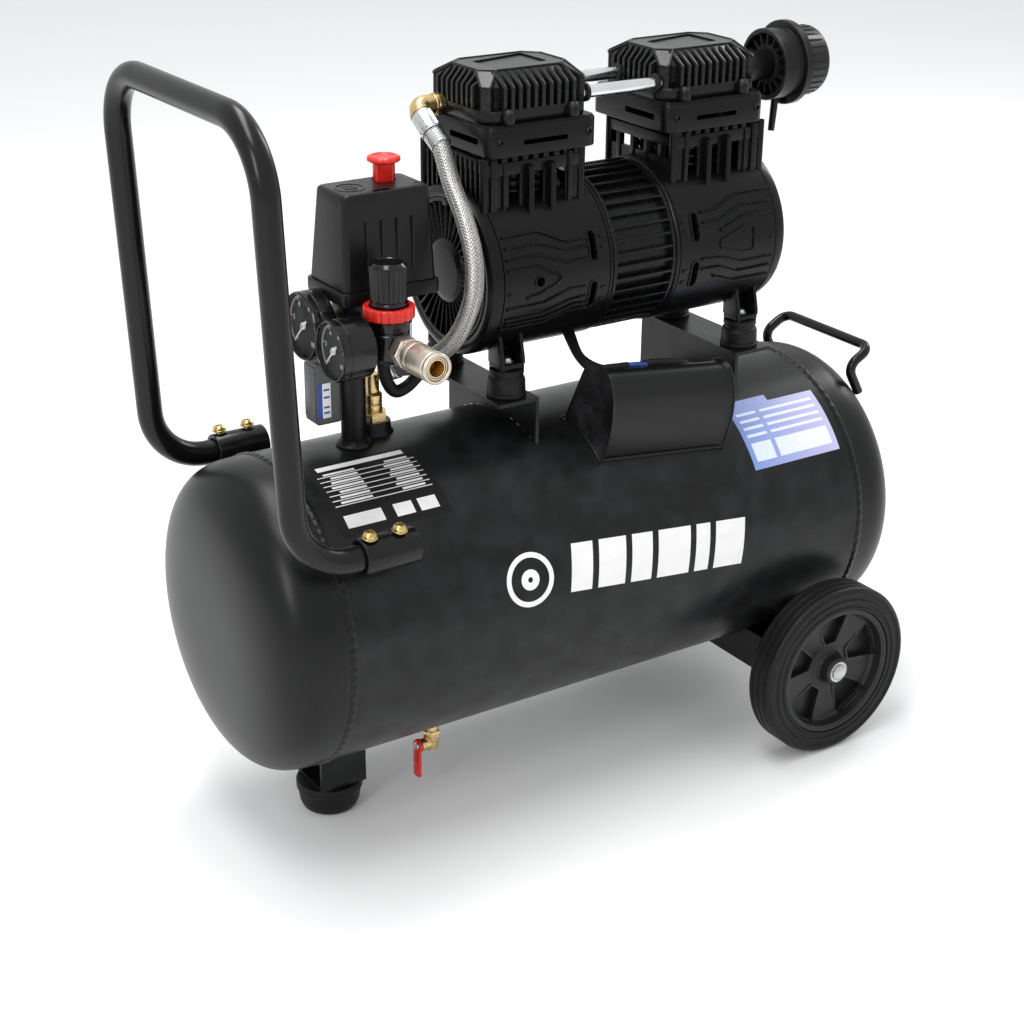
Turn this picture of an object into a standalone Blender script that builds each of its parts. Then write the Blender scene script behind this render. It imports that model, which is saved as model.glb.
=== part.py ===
"""Portable twin-cylinder oil-free air compressor with a 30 litre tank.

Frame: metres, +Z up, origin on the floor under the middle of the tank. The tank lies along X,
the wheels are at +X, the push handle at -X, and the outlet coupler and the capacitor cover face -Y.
"""

import math

import bmesh
import bpy
from mathutils import Matrix, Vector

# Driving dimensions
GAP = 0.0003
SHEET = 0.003

TANK_RADIUS = 0.125
TANK_Z = 0.1905
TANK_HALF_LENGTH = 0.3087
HEAD_DEPTH = 0.060
HEAD_SQUARENESS = 3.5
SEAM_X = TANK_HALF_LENGTH - HEAD_DEPTH

WHEEL_RADIUS = 0.077
WHEEL_X = 0.2045
WHEEL_OUTER_Y = 0.160
WHEEL_WIDTH = 0.0295
WHEEL_MID_Y = WHEEL_OUTER_Y - WHEEL_WIDTH / 2

HANDLE_RADIUS = 0.0101
HANDLE_Y = 0.1218
HANDLE_TOP_Z = 0.601
SLEEVE_Z = 0.2813
SLEEVE_LENGTH = 0.045
SLEEVE_X = -0.218

MOTOR_X = 0.0605
MOTOR_Y = 0.0125
MOTOR_Z = 0.4375
DRUM_RADIUS = 0.0675
DRUM_WALL = 0.004
DRUM_INNER_END = 0.0312
DRUM_OUTER_END = 0.1455
MOUTH_RADIUS = 0.0578
CYLINDER_OFFSET = 0.0835
CYLINDER_BORE = 0.0255
CRANK_THROW = 0.0075
PLATE_BOTTOM_Z = 0.532
PLATE_TOP_Z = 0.556
PLATE_HALF = (0.050, 0.0525)
COVER_HALF = (0.0495, 0.044)
JACKET_HALF = 0.0470
JACKET_SHIFT = 0.0065
JACKET_Y = (-0.0290, 0.0640)
HEAD_Y = 0.0200
COVER_Y = 0.0190
PORT_Y = 0.0375
COVER_CORNER = (0.0090, 0.0130)
COVER_SLOPE = (0.0092, 0.0172)
FIN_TOP_Z = 0.5830
COVER_TOP_Z = 0.5930
TUBE_RADIUS = 0.0050
TUBE_Z = 0.5695

SADDLE_TOP_Z = 0.3437
SADDLE_WIDTH = 0.037
MOUNT_OFFSET_X = 0.118
MOUNT_OFFSET_Y = 0.0465
MOUNT_HEIGHT = 0.0223

POST_X = -0.1765
REGULATOR_Y = -0.058
PORT_Z = 0.4165
SWITCH_BASE_Z = 0.4375
SWITCH_JOIN_Z = 0.4492
SWITCH_TOP_Z = 0.5205
SWITCH_KNOB = (-0.1453, 0.0009)

FILTER_Y = 0.0180
FILTER_Z = 0.5655
FOOT_X = -0.208
FOOT_HEIGHT = 0.0262
DRAIN = (-0.127, -0.03)
DRAIN_HUB_Z = 0.0475

X_AXIS = Matrix.Rotation(math.pi / 2, 4, "Y")
Y_AXIS = Matrix.Rotation(-math.pi / 2, 4, "X")
Z_AXIS = Matrix.Identity(4)

# Colour, roughness and metallic value of each finish
FINISHES = {
    "powder_coat": ((0.030, 0.031, 0.033), 0.42, 0.0),
    "cast_black": ((0.045, 0.046, 0.050), 0.50, 0.3),
    "black_plastic": ((0.030, 0.030, 0.033), 0.45, 0.0),
    "black_rubber": ((0.025, 0.025, 0.026), 0.75, 0.0),
    "wheel_plastic": ((0.040, 0.040, 0.042), 0.50, 0.0),
    "red_plastic": ((0.75, 0.055, 0.045), 0.40, 0.0),
    "brass": ((0.72, 0.53, 0.27), 0.30, 1.0),
    "nickel": ((0.74, 0.71, 0.65), 0.28, 1.0),
    "steel": ((0.60, 0.60, 0.62), 0.32, 1.0),
    "aluminium": ((0.78, 0.79, 0.80), 0.30, 1.0),
    "braid": ((0.66, 0.66, 0.67), 0.40, 0.9),
    "white_paint": ((0.85, 0.85, 0.83), 0.50, 0.0),
}


def clear_scene():
    for item in list(bpy.data.objects):
        bpy.data.objects.remove(item)


def collection(name):
    made = bpy.data.collections.new(name)
    bpy.context.scene.collection.children.link(made)
    return made


def finish(name):
    found = bpy.data.materials.get(name)
    if found:
        return found
    colour, roughness, metallic = FINISHES[name]
    made = bpy.data.materials.new(name)
    made.use_nodes = True
    shader = made.node_tree.nodes["Principled BSDF"]
    shader.inputs["Base Color"].default_value = (*colour, 1.0)
    shader.inputs["Roughness"].default_value = roughness
    shader.inputs["Metallic"].default_value = metallic
    return made


clear_scene()
PARTS = collection("air_compressor")
CUTTERS = collection("cutters")


def add(name, mesh, material, matrix=Z_AXIS):
    made = bpy.data.objects.new(name, mesh)
    made.matrix_world = matrix
    if material is None:
        made.hide_render = True
        made.display_type = "WIRE"
        CUTTERS.objects.link(made)
    else:
        mesh.materials.append(finish(material))
        PARTS.objects.link(made)
    return made


def mesh_from(bm, name):
    mesh = bpy.data.meshes.new(name)
    bm.to_mesh(mesh)
    bm.free()
    mesh.shade_smooth()
    mesh.set_sharp_from_angle(angle=math.radians(35))
    return mesh


def box(name, low, high, material=None, bevel=0.0, matrix=None):
    """A box between two corners. With a matrix, the corners are in the matrix's own frame."""
    bm = bmesh.new()
    bmesh.ops.create_cube(bm, size=1.0)
    size = Vector(high) - Vector(low)
    middle = (Vector(high) + Vector(low)) / 2
    bmesh.ops.scale(bm, vec=size, verts=bm.verts)
    if bevel:
        bmesh.ops.bevel(bm, geom=bm.edges[:], offset=bevel, segments=2, profile=0.5, affect="EDGES")
    place = Matrix.Translation(middle)
    if matrix is not None:
        place = matrix @ place
    return add(name, mesh_from(bm, name), material, place)


def tapered_box(name, low, high, top_low, top_high, material=None):
    """A box whose top face has its own X and Y limits."""
    bm = bmesh.new()
    bmesh.ops.create_cube(bm, size=1.0)
    for vert in bm.verts:
        at_top = vert.co.z > 0
        start, end = (top_low, top_high) if at_top else (low, high)
        vert.co.x = end[0] if vert.co.x > 0 else start[0]
        vert.co.y = end[1] if vert.co.y > 0 else start[1]
        vert.co.z = high[2] if at_top else low[2]
    return add(name, mesh_from(bm, name), material)


def rod(name, radius, length, centre, axis=Z_AXIS, material=None, sides=32):
    bm = bmesh.new()
    bmesh.ops.create_cone(
        bm, cap_ends=True, segments=sides, radius1=radius, radius2=radius, depth=length
    )
    return add(name, mesh_from(bm, name), material, Matrix.Translation(centre) @ axis)


def lathe(name, profile, centre, axis=Z_AXIS, material=None, steps=32):
    """A turned solid. The profile's (radius, height) points run down the outer side."""
    mesh = bpy.data.meshes.new(name)
    points = [(radius, 0.0, height) for radius, height in profile]
    edges = [(i, i + 1) for i in range(len(points) - 1)]
    if profile[0][0] > 0:
        edges.append((len(points) - 1, 0))
    mesh.from_pydata(points, edges, [])
    made = add(name, mesh, material, Matrix.Translation(centre) @ axis)
    screw = made.modifiers.new("turn", "SCREW")
    screw.axis = "Z"
    screw.angle = math.tau
    screw.steps = steps
    screw.render_steps = steps
    screw.use_merge_vertices = True
    screw.merge_threshold = 0.00001
    screw.use_smooth_shade = True
    return made


def evaluated_mesh(made, name):
    graph = bpy.context.evaluated_depsgraph_get()
    mesh = bpy.data.meshes.new_from_object(made.evaluated_get(graph))
    mesh.name = name
    return mesh


def curve_solid(name, curve, material=None, matrix=Z_AXIS):
    """Turns a filled curve into a welded mesh object, so that it can be cut or can cut."""
    guide = bpy.data.objects.new(name + "_curve", curve)
    guide.matrix_world = matrix
    CUTTERS.objects.link(guide)
    mesh = evaluated_mesh(guide, name)
    bpy.data.objects.remove(guide)
    bm = bmesh.new()
    bm.from_mesh(mesh)
    bmesh.ops.remove_doubles(bm, verts=bm.verts, dist=0.000001)
    bm.to_mesh(mesh)
    bm.free()
    mesh.materials.clear()
    return add(name, mesh, material, matrix)


def tube(name, points, radius, material=None, resolution=3):
    """A round bar or hose along the points, with closed ends."""
    curve = bpy.data.curves.new(name, "CURVE")
    curve.dimensions = "3D"
    curve.bevel_depth = radius
    curve.bevel_resolution = resolution
    curve.use_fill_caps = True
    spline = curve.splines.new("POLY")
    spline.points.add(len(points) - 1)
    for point, place in zip(spline.points, points):
        point.co = (*place, 1.0)
    made = curve_solid(name, curve, material)
    made.data.shade_smooth()
    made.data.set_sharp_from_angle(angle=math.radians(50))
    return made


def plate(name, outline, thickness, material=None, matrix=Z_AXIS):
    """A flat outline in the matrix's XY plane, thickened to both sides of it."""
    curve = bpy.data.curves.new(name, "CURVE")
    curve.dimensions = "2D"
    curve.fill_mode = "BOTH"
    curve.extrude = thickness / 2
    spline = curve.splines.new("POLY")
    spline.points.add(len(outline) - 1)
    for point, (x, y) in zip(spline.points, outline):
        point.co = (x, y, 0.0, 1.0)
    spline.use_cyclic_u = True
    return curve_solid(name, curve, material, matrix)


def rounded(points, radius, steps=6):
    """The points of a path whose inner corners are replaced by arcs of this radius."""
    path = [Vector(points[0])]
    for before, corner, after in zip(points, points[1:], points[2:]):
        corner = Vector(corner)
        back = (Vector(before) - corner).normalized()
        ahead = (Vector(after) - corner).normalized()
        half = back.angle(ahead) / 2
        run = radius / math.tan(half)
        centre = corner + (back + ahead).normalized() * (radius / math.sin(half))
        start = corner + back * run - centre
        turn = start.cross(corner + ahead * run - centre).normalized()
        sweep = math.pi - 2 * half
        for i in range(steps + 1):
            path.append(centre + Matrix.Rotation(sweep * i / steps, 4, turn) @ start)
    path.append(Vector(points[-1]))
    return path


def smooth_path(points, per_span=4):
    """A Catmull-Rom curve through the points."""
    knots = [Vector(point) for point in points]
    knots = [2 * knots[0] - knots[1]] + knots + [2 * knots[-1] - knots[-2]]
    path = []
    for a, b, c, d in zip(knots, knots[1:], knots[2:], knots[3:]):
        for i in range(per_span):
            t = i / per_span
            path.append(
                0.5 * (2 * b + (c - a) * t + (2 * a - 5 * b + 4 * c - d) * t * t
                       + (3 * b - a - 3 * c + d) * t ** 3)
            )
    path.append(knots[-2])
    return path


def boolean(target, tool, operation):
    modifier = target.modifiers.new(operation.lower(), "BOOLEAN")
    modifier.operation = operation
    modifier.object = tool
    modifier.solver = "EXACT"


def cut(target, *tools):
    for tool in tools:
        boolean(target, tool, "DIFFERENCE")


def join(target, *tools):
    for tool in tools:
        boolean(target, tool, "UNION")


def tank_surface_z(y, side=1):
    """Height of the tank's outer surface over (side 1) or under (side -1) its axis."""
    return TANK_Z + side * math.sqrt(TANK_RADIUS ** 2 - y ** 2)


def tank_cutter(name):
    """The tank's outside with the gap, for trimming what is welded to it."""
    return rod(name, TANK_RADIUS + 2 * GAP, 0.7, (0, 0, TANK_Z), X_AXIS, sides=96)


def ring_profile(outer, inner, start, end):
    return [(outer, end), (outer, start), (inner, start), (inner, end)]


# Tank


def make_tank():
    half = SEAM_X - GAP
    inner = TANK_RADIUS - SHEET
    lathe("tank_shell", ring_profile(TANK_RADIUS, inner, -half, half), (0, 0, TANK_Z), X_AXIS,
          "powder_coat", 48)
    for name, side in (("tank_head_left", -1), ("tank_head_right", 1)):
        lathe(name, head_profile(), (side * SEAM_X, 0, TANK_Z),
              Matrix.Rotation(side * math.pi / 2, 4, "Y"), "powder_coat", 48)


def head_profile(steps=6):
    """A dished end: a superellipse outside and the same one sheet smaller inside."""
    outer, inner = [], []
    for i in range(steps + 1):
        angle = math.pi / 2 * i / steps
        across = math.sin(angle) ** (2 / HEAD_SQUARENESS)
        along = math.cos(angle) ** (2 / HEAD_SQUARENESS)
        outer.append((TANK_RADIUS * across, HEAD_DEPTH * along))
        inner.append(((TANK_RADIUS - SHEET) * across, (HEAD_DEPTH - SHEET) * along))
    return outer + inner[::-1]


# Push handle and its sleeves


def make_handle():
    lean = 0.042
    leg_x = -0.2971
    bottom_x = leg_x + lean * (0.4 - SLEEVE_Z)
    top_x = leg_x - lean * (HANDLE_TOP_Z - 0.4)
    end_x = SLEEVE_X + 0.018
    near = [
        (end_x, -HANDLE_Y, SLEEVE_Z),
        (bottom_x, -HANDLE_Y, SLEEVE_Z),
        (top_x, -HANDLE_Y, HANDLE_TOP_Z),
    ]
    far = [(x, -y, z) for x, y, z in reversed(near)]
    tube("push_handle", rounded(near + far, 0.05, 5), HANDLE_RADIUS, "powder_coat")
    for name, side in (("handle_sleeve_near", -1), ("handle_sleeve_far", 1)):
        make_sleeve(name, side)


def make_sleeve(name, side):
    outer, inner = 0.0138, HANDLE_RADIUS + 0.0005
    centre = Vector((SLEEVE_X, side * HANDLE_Y, SLEEVE_Z))
    half = SLEEVE_LENGTH / 2
    sleeve = lathe(name, ring_profile(outer, inner, -half, half), centre, X_AXIS, "powder_coat", 24)
    outward = Vector((0, side * HANDLE_Y, SLEEVE_Z - TANK_Z))
    reach = outward.length
    tilt = Matrix.Rotation(-side * math.atan2(abs(outward.y), outward.z), 4, "X")
    frame = Matrix.Translation((SLEEVE_X, 0, TANK_Z)) @ tilt
    web = box(name + "_web", (-0.018, -0.0025, TANK_RADIUS + 2 * GAP),
              (0.018, 0.0025, reach - (outer + inner) / 2), matrix=frame)
    join(sleeve, web)


def make_bail():
    y = 0.0565
    near = [
        (0.3005, -y, 0.2835),
        (0.2862, -y, 0.3090),
        (0.3110, -y, 0.3228),
    ]
    far = [(x, -w, z) for x, w, z in reversed(near)]
    tube("rear_bail", rounded(near + far, 0.010, 4), 0.0043, "powder_coat", 2)


# Foot, wheels and axle bracket


def make_foot():
    top, low = 0.0275, 0.0238
    lathe("rubber_foot", [(0, FOOT_HEIGHT), (top, FOOT_HEIGHT), (top, 0.019), (low, 0.0012),
                          (low - 0.0012, 0), (0, 0)], (FOOT_X, 0, 0), Z_AXIS, "black_rubber")
    half_x, half_y = 0.0205, 0.0225
    bottom = FOOT_HEIGHT + GAP
    bracket = box("foot_bracket", (FOOT_X - half_x + 0.002, -half_y, bottom),
                  (FOOT_X + half_x + 0.002, half_y, 0.085), "powder_coat")
    hollow = box("foot_bracket_hollow", (FOOT_X - 0.05, -half_y + SHEET, bottom + SHEET),
                 (FOOT_X + 0.05, half_y - SHEET, 0.2))
    cut(bracket, hollow, tank_cutter("foot_bracket_trim"))


def make_axle_bracket():
    """An open-topped tray across the tank's underside, trimmed to the tank, with an axle bolt at each end."""
    low_x, high_x = 0.172, 0.237
    end_y = 0.118
    bottom, top = 0.0565, 0.0905
    tray = box("axle_bracket", (low_x, -end_y, bottom), (high_x, end_y, top), "powder_coat")
    hollow = box("axle_bracket_hollow", (low_x + SHEET, -end_y + SHEET, bottom + SHEET),
                 (high_x - SHEET, end_y - SHEET, 0.2))
    bore = rod("axle_bore", 0.0055, 0.4, (WHEEL_X, 0, WHEEL_RADIUS), Y_AXIS, sides=16)
    cut(tray, hollow, bore, tank_cutter("axle_bracket_trim"))
    for name, side in (("axle_bolt_near", -1), ("axle_bolt_far", 1)):
        make_axle_bolt(name, side, end_y)


def make_axle_bolt(name, side, end_y):
    """Nut inside the bracket, shank through the wheel and a domed head outside it."""
    shank, nut, head = 0.0052, 0.0085, 0.0075
    profile = [
        (0, 0.1652), (0.0055, 0.1645), (head, 0.1625), (head, 0.1612),
        (shank, 0.1612), (shank, end_y - SHEET - GAP), (nut, end_y - SHEET - GAP),
        (nut, end_y - SHEET - 0.007), (0, end_y - SHEET - 0.007),
    ]
    lathe(name, profile, (WHEEL_X, 0, WHEEL_RADIUS), Matrix.Rotation(-side * math.pi / 2, 4, "X"),
          "steel", 16)


def make_wheels():
    for end, side in (("near", -1), ("far", 1)):
        axis = Matrix.Rotation(-side * math.pi / 2, 4, "X")
        centre = (WHEEL_X, side * WHEEL_MID_Y, WHEEL_RADIUS)
        make_tyre("wheel_tyre_" + end, centre, axis)
        make_rim("wheel_rim_" + end, centre, axis)


def make_tyre(name, centre, axis):
    half = WHEEL_WIDTH / 2
    seat = 0.0582
    shoulder = 0.004
    profile = [
        (WHEEL_RADIUS - shoulder, half), (WHEEL_RADIUS, half - shoulder),
        (WHEEL_RADIUS, -half + shoulder), (WHEEL_RADIUS - shoulder, -half), (seat, -half), (seat, half),
    ]
    lathe(name, profile, centre, axis, "black_rubber", 36)


def make_rim(name, centre, axis):
    """A dished rim: an outer band, a web set back from the outer face and a hub, with five windows."""
    half = WHEEL_WIDTH / 2
    band, band_inner, hub, bore = 0.0578, 0.0530, 0.0125, 0.0055
    web_low, web_high = -0.006, 0.002
    profile = [
        (band, half - 0.001), (band, -half + 0.001), (band_inner, -half + 0.001), (band_inner, web_low),
        (hub, web_low), (hub, -half + 0.001), (bore, -half + 0.001), (bore, half + 0.0008),
        (hub, half + 0.0008), (hub, web_high), (band_inner, web_high + 0.002), (band_inner, half - 0.001),
    ]
    rim = lathe(name, profile, centre, axis, "wheel_plastic", 28)
    outline = [(0.0215, -0.0065), (0.0500, -0.0190), (0.0500, 0.0190), (0.0215, 0.0065)]
    for i in range(5):
        turn = Matrix.Rotation(math.tau * i / 5 + 0.3, 4, "Z")
        place = Matrix.Translation(centre) @ axis @ turn
        cut(rim, plate(f"{name}_window_{i}", outline, 0.04, None, place))


# Motor supports


def make_supports():
    near_y = MOTOR_Y - MOUNT_OFFSET_Y - 0.019
    far_y = MOTOR_Y + MOUNT_OFFSET_Y + 0.019
    for name, side in (("motor_saddle_left", -1), ("motor_saddle_right", 1)):
        middle = MOTOR_X + side * MOUNT_OFFSET_X
        low, high = middle - SADDLE_WIDTH / 2, middle + SADDLE_WIDTH / 2
        angle = box(name, (low, near_y, 0.26), (high, far_y, SADDLE_TOP_Z), "powder_coat")
        inner = (low - 0.01, high - SHEET) if side < 0 else (low + SHEET, high + 0.01)
        hollow = box(name + "_hollow", (inner[0], near_y - 0.01, 0.2),
                     (inner[1], far_y + 0.01, SADDLE_TOP_Z - SHEET))
        cut(angle, hollow, tank_cutter(name + "_trim"))
        for end, across in (("near", -1), ("far", 1)):
            place = (middle, MOTOR_Y + across * MOUNT_OFFSET_Y, SADDLE_TOP_Z + GAP)
            title = f"rubber_mount_{name.split('_')[-1]}_{end}"
            lathe(title, [(0, MOUNT_HEIGHT), (0.0138, MOUNT_HEIGHT), (0.0138, 0.016), (0.0150, 0.003),
                          (0.0158, 0), (0, 0)], place, Z_AXIS, "black_rubber", 16)


# Motor and pumps


def motor_frame(along=0.0):
    return (MOTOR_X + along, MOTOR_Y, MOTOR_Z)


def make_stator():
    half = DRUM_INNER_END - GAP
    lathe("stator", ring_profile(0.0664, 0.0405, -half, half), motor_frame(), X_AXIS, "cast_black", 40)


def make_rotor():
    """Shaft, rotor core and the two opposed crank pins."""
    shaft, core = 0.0060, 0.0392
    end, half = 0.1375, 0.0275
    profile = [(0, end), (shaft, end), (shaft, half), (core, half), (core, -half), (shaft, -half),
               (shaft, -end), (0, -end)]
    rotor = lathe("rotor", profile, motor_frame(), X_AXIS, "steel", 24)
    for side in (-1, 1):
        x, y, z = motor_frame(side * CYLINDER_OFFSET)
        join(rotor, rod(f"crank_pin_{side}", 0.0120, 0.010, (x, y, z + side * CRANK_THROW), X_AXIS, sides=20))


def make_fans():
    """Seven flat radial blades and a back plate on a hub that the shaft passes through."""
    hub, bore, tip = 0.0150, 0.0064, 0.0550
    for name, side in (("cooling_fan_left", -1), ("cooling_fan_right", 1)):
        centre = motor_frame(side * 0.1265)
        fan = lathe(name, ring_profile(hub, bore, -0.0065, 0.0065), centre, X_AXIS, "black_plastic", 20)
        join(fan, lathe(name + "_plate", ring_profile(tip, bore + 0.004, -0.001, 0.001), centre, X_AXIS,
                        None, 28))
        for i in range(7):
            frame = Matrix.Translation(centre) @ Matrix.Rotation(math.tau * i / 7, 4, "X")
            join(fan, box(f"{name}_blade_{i}", (-0.006, -0.001, hub - 0.003), (0.006, 0.001, tip - 0.002),
                          matrix=frame))


def make_crankcase(name, side):
    """Drum, cylinder block and two feet in one casting, hollow inside, open at the fan end."""
    outward = Matrix.Rotation(side * math.pi / 2, 4, "Y")
    bevel = 0.005
    drum = lathe(name, [(0, DRUM_OUTER_END), (DRUM_RADIUS - bevel, DRUM_OUTER_END),
                        (DRUM_RADIUS, DRUM_OUTER_END - bevel), (DRUM_RADIUS, DRUM_INNER_END),
                        (0, DRUM_INNER_END)], motor_frame(), outward, "cast_black", 40)
    x, y, z = motor_frame(side * CYLINDER_OFFSET)
    middle = x + side * JACKET_SHIFT
    join(drum, box(name + "_block", (middle - JACKET_HALF, JACKET_Y[0], z + 0.045),
                   (middle + JACKET_HALF, JACKET_Y[1], PLATE_BOTTOM_Z - GAP)))
    foot_x = MOTOR_X + side * MOUNT_OFFSET_X
    foot_low = SADDLE_TOP_Z + MOUNT_HEIGHT + 2 * GAP
    for end, across in (("near", -1), ("far", 1)):
        foot_y = y + across * MOUNT_OFFSET_Y
        join(drum, box(f"{name}_foot_{end}", (foot_x - 0.011, foot_y - 0.010, foot_low),
                       (foot_x + 0.011, foot_y + 0.010, z - 0.035)))
    inner_wall = DRUM_INNER_END + 0.005
    mouth = DRUM_OUTER_END - 0.008
    cavity = lathe(name + "_cavity", [(0, DRUM_OUTER_END + 0.01), (MOUTH_RADIUS, DRUM_OUTER_END + 0.01),
                                      (MOUTH_RADIUS, mouth), (DRUM_RADIUS - DRUM_WALL, mouth),
                                      (DRUM_RADIUS - DRUM_WALL, inner_wall), (0, inner_wall)],
                   motor_frame(), outward, None, 40)
    cut(drum,
        cavity,
        rod(name + "_cylinder", CYLINDER_BORE, 0.12, (x, y, z + 0.07), sides=32),
        rod(name + "_shaft_hole", 0.0064, 0.05, motor_frame(side * DRUM_INNER_END), X_AXIS, sides=24))


def make_end_grille(name, side):
    """Fan guard: a rim, a hub boss and radial bars between them."""
    outer = MOUTH_RADIUS - 0.0005
    rim, hub = outer - 0.005, 0.0215
    centre = motor_frame(side * (DRUM_OUTER_END - 0.0025))
    guard = lathe(name, ring_profile(outer, rim, -0.0025, 0.0025), centre, X_AXIS, "cast_black", 28)
    join(guard, rod(name + "_hub", hub, 0.005, centre, X_AXIS, sides=20))
    for i in range(12):
        frame = Matrix.Translation(centre) @ Matrix.Rotation(math.tau * i / 12, 4, "X")
        join(guard, box(f"{name}_bar_{i}", (-0.002, -0.0011, hub - 0.002), (0.002, 0.0011, rim + 0.002),
                        matrix=frame))


def make_piston(name, side):
    """A wobble piston: crown, rod and a big end that clears the crank pin's whole sweep."""
    x, y, z = motor_frame(side * CYLINDER_OFFSET)
    ring_outer, ring_inner, width = 0.0330, 0.0285, 0.010
    piston = lathe(name, ring_profile(ring_outer, ring_inner, -width / 2, width / 2), (x, y, z), X_AXIS,
                   "aluminium", 32)
    crown_z = z + 0.0755
    join(piston,
         box(name + "_rod", (x - 0.004, y - 0.006, z + 0.0305), (x + 0.004, y + 0.006, crown_z)),
         rod(name + "_crown", CYLINDER_BORE - 0.0008, 0.010, (x, y, crown_z + 0.004), sides=32))


def make_valve_plate(name, side):
    x, y, _ = motor_frame(side * CYLINDER_OFFSET)
    half_x, half_y = PLATE_HALF
    block = box(name, (x - half_x, HEAD_Y - half_y, PLATE_BOTTOM_Z), (x + half_x, HEAD_Y + half_y, PLATE_TOP_Z),
                "cast_black", 0.003)
    for i, across in enumerate((-0.012, 0.012)):
        cut(block, rod(f"{name}_port_{i}", 0.004, 0.06, (x + across, y, PLATE_TOP_Z), sides=12))


def make_head_cover(name, side):
    """Chamfered cover with a hollow valve chamber, open underneath, and side ports for the air tubes."""
    x, y = MOTOR_X + side * CYLINDER_OFFSET, COVER_Y
    half_x, half_y = COVER_HALF
    outline = chamfered_rectangle(half_x, half_y, *COVER_CORNER)
    base = PLATE_TOP_Z + GAP
    cover = plate(name, outline, FIN_TOP_Z - base, "cast_black", Matrix.Translation((x, y, (FIN_TOP_Z + base) / 2)))
    cap = plate(name + "_cap", outline, COVER_TOP_Z - FIN_TOP_Z + 0.002, None,
                Matrix.Translation((x, y, (COVER_TOP_Z + FIN_TOP_Z - 0.002) / 2)))
    shrink_x, shrink_y = 1 - COVER_SLOPE[0] / half_x, 1 - COVER_SLOPE[1] / half_y
    for vert in cap.data.vertices:
        if vert.co.z > 0:
            vert.co.x *= shrink_x
            vert.co.y *= shrink_y
    join(cover, cap)
    cut(cover, box(name + "_chamber", (x - half_x + 0.014, y - half_y + 0.014, base - 0.01),
                   (x + half_x - 0.014, y + half_y - 0.014, FIN_TOP_Z)))
    for i, across in enumerate((-0.025, 0.025)):
        cut(cover, rod(f"{name}_socket_{i}", TUBE_RADIUS + 0.0004, 0.016,
                       (x - side * half_x, MOTOR_Y + across, TUBE_Z), X_AXIS, sides=20))


def chamfered_rectangle(half_x, half_y, corner_x, corner_y):
    flat_x, flat_y = half_x - corner_x, half_y - corner_y
    return [
        (half_x, -flat_y), (half_x, flat_y), (flat_x, half_y), (-flat_x, half_y),
        (-half_x, flat_y), (-half_x, -flat_y), (-flat_x, -half_y), (flat_x, -half_y),
    ]


def make_head_tubes():
    half = CYLINDER_OFFSET - COVER_HALF[0] + 0.0075
    for name, across in (("head_tube_near", -0.025), ("head_tube_far", 0.025)):
        rod(name, TUBE_RADIUS, 2 * half, (MOTOR_X, MOTOR_Y + across, TUBE_Z), X_AXIS, "aluminium", 20)


def make_filter():
    """Intake filter on the right head: stub, open collar, broad disc and cap, turned about X."""
    start = MOTOR_X + CYLINDER_OFFSET + COVER_HALF[0] + GAP
    stub, collar, disc, cap = 0.0120, 0.0298, 0.0350, 0.0288
    profile = [
        (0, 0.0885), (cap - 0.003, 0.0885), (cap, 0.0855), (cap, 0.0645), (disc, 0.0645),
        (disc, 0.0575), (collar, 0.0575), (collar, 0.0380), (collar - 0.004, 0.0380),
        (collar - 0.004, 0.0500), (stub, 0.0500), (stub, 0), (0, 0),
    ]
    lathe("intake_filter", profile, (start, FILTER_Y, FILTER_Z), X_AXIS, "black_plastic", 24)


# Air line


def make_elbow_and_hose():
    """Brass elbow on the left head with its swivel nut, and the hose from the nut to the check valve."""
    face = MOTOR_X - CYLINDER_OFFSET - COVER_HALF[0] - GAP
    turn = Vector((-0.0950, PORT_Y, 0.5625))
    aim = Vector((0, -0.832, -0.555))
    tilt = aim.to_track_quat("Z", "Y").to_matrix().to_4x4()
    elbow = tube("discharge_elbow", rounded([(face, turn.y, turn.z), turn, turn + aim * 0.016], 0.009, 5),
                 0.0080, "brass", 3)
    nut_turn = Matrix.Rotation(math.radians(12), 4, "Z")
    join(elbow, rod("hose_nut", 0.0098, 0.0180, turn + aim * 0.0200, tilt @ nut_turn, sides=6))
    start = turn + aim * (0.0290 + GAP)
    route = [
        start + aim * 0.0040, start + aim * 0.0140, (-0.0985, -0.0197, 0.5143), (-0.1030, -0.0452, 0.4936),
        (-0.1080, -0.0656, 0.4690), (-0.1140, -0.0730, 0.4415), (-0.1200, -0.0580, 0.4072),
        (-0.1280, -0.0271, 0.3817), (-0.1350, 0.0023, 0.3693), (-0.1420, 0.0135, 0.3640),
    ]
    tube("braided_hose", [start] + smooth_path(route, 3), 0.0061, "braid", 2)


def make_check_valve():
    """Boss on the tank, hexagon body and the angled spigot that takes the hose."""
    x, y = -0.1500, 0.0175
    base = tank_surface_z(0.006) + GAP
    valve = lathe("check_valve", [(0, 0.0480), (0.0058, 0.0480), (0.0058, 0.0330), (0.0080, 0.0310),
                                  (0.0080, 0.0170), (0.0120, 0.0165), (0.0125, 0.0010), (0, 0.0010)],
                  (x, y, base), Z_AXIS, "brass", 24)
    cut(valve, tank_cutter("check_valve_trim"))


def make_standpipe():
    """Pipe from the tank up to a four-way block under the pressure switch, with a nipple to the regulator."""
    base = TANK_Z + TANK_RADIUS + GAP
    block = 0.0110
    block_low = 0.4045
    block_high = SWITCH_BASE_Z - GAP
    pipe = rod("standpipe", 0.0100, block_high - base, (POST_X, 0, (block_high + base) / 2), Z_AXIS,
               "powder_coat", 28)
    join(pipe,
         box("port_block", (POST_X - block, -block, block_low), (POST_X + block, block, block_high - 0.004)),
         rod("regulator_nipple", 0.0065, 0.036, (POST_X, -0.0230, PORT_Z), Y_AXIS, sides=16))


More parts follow.
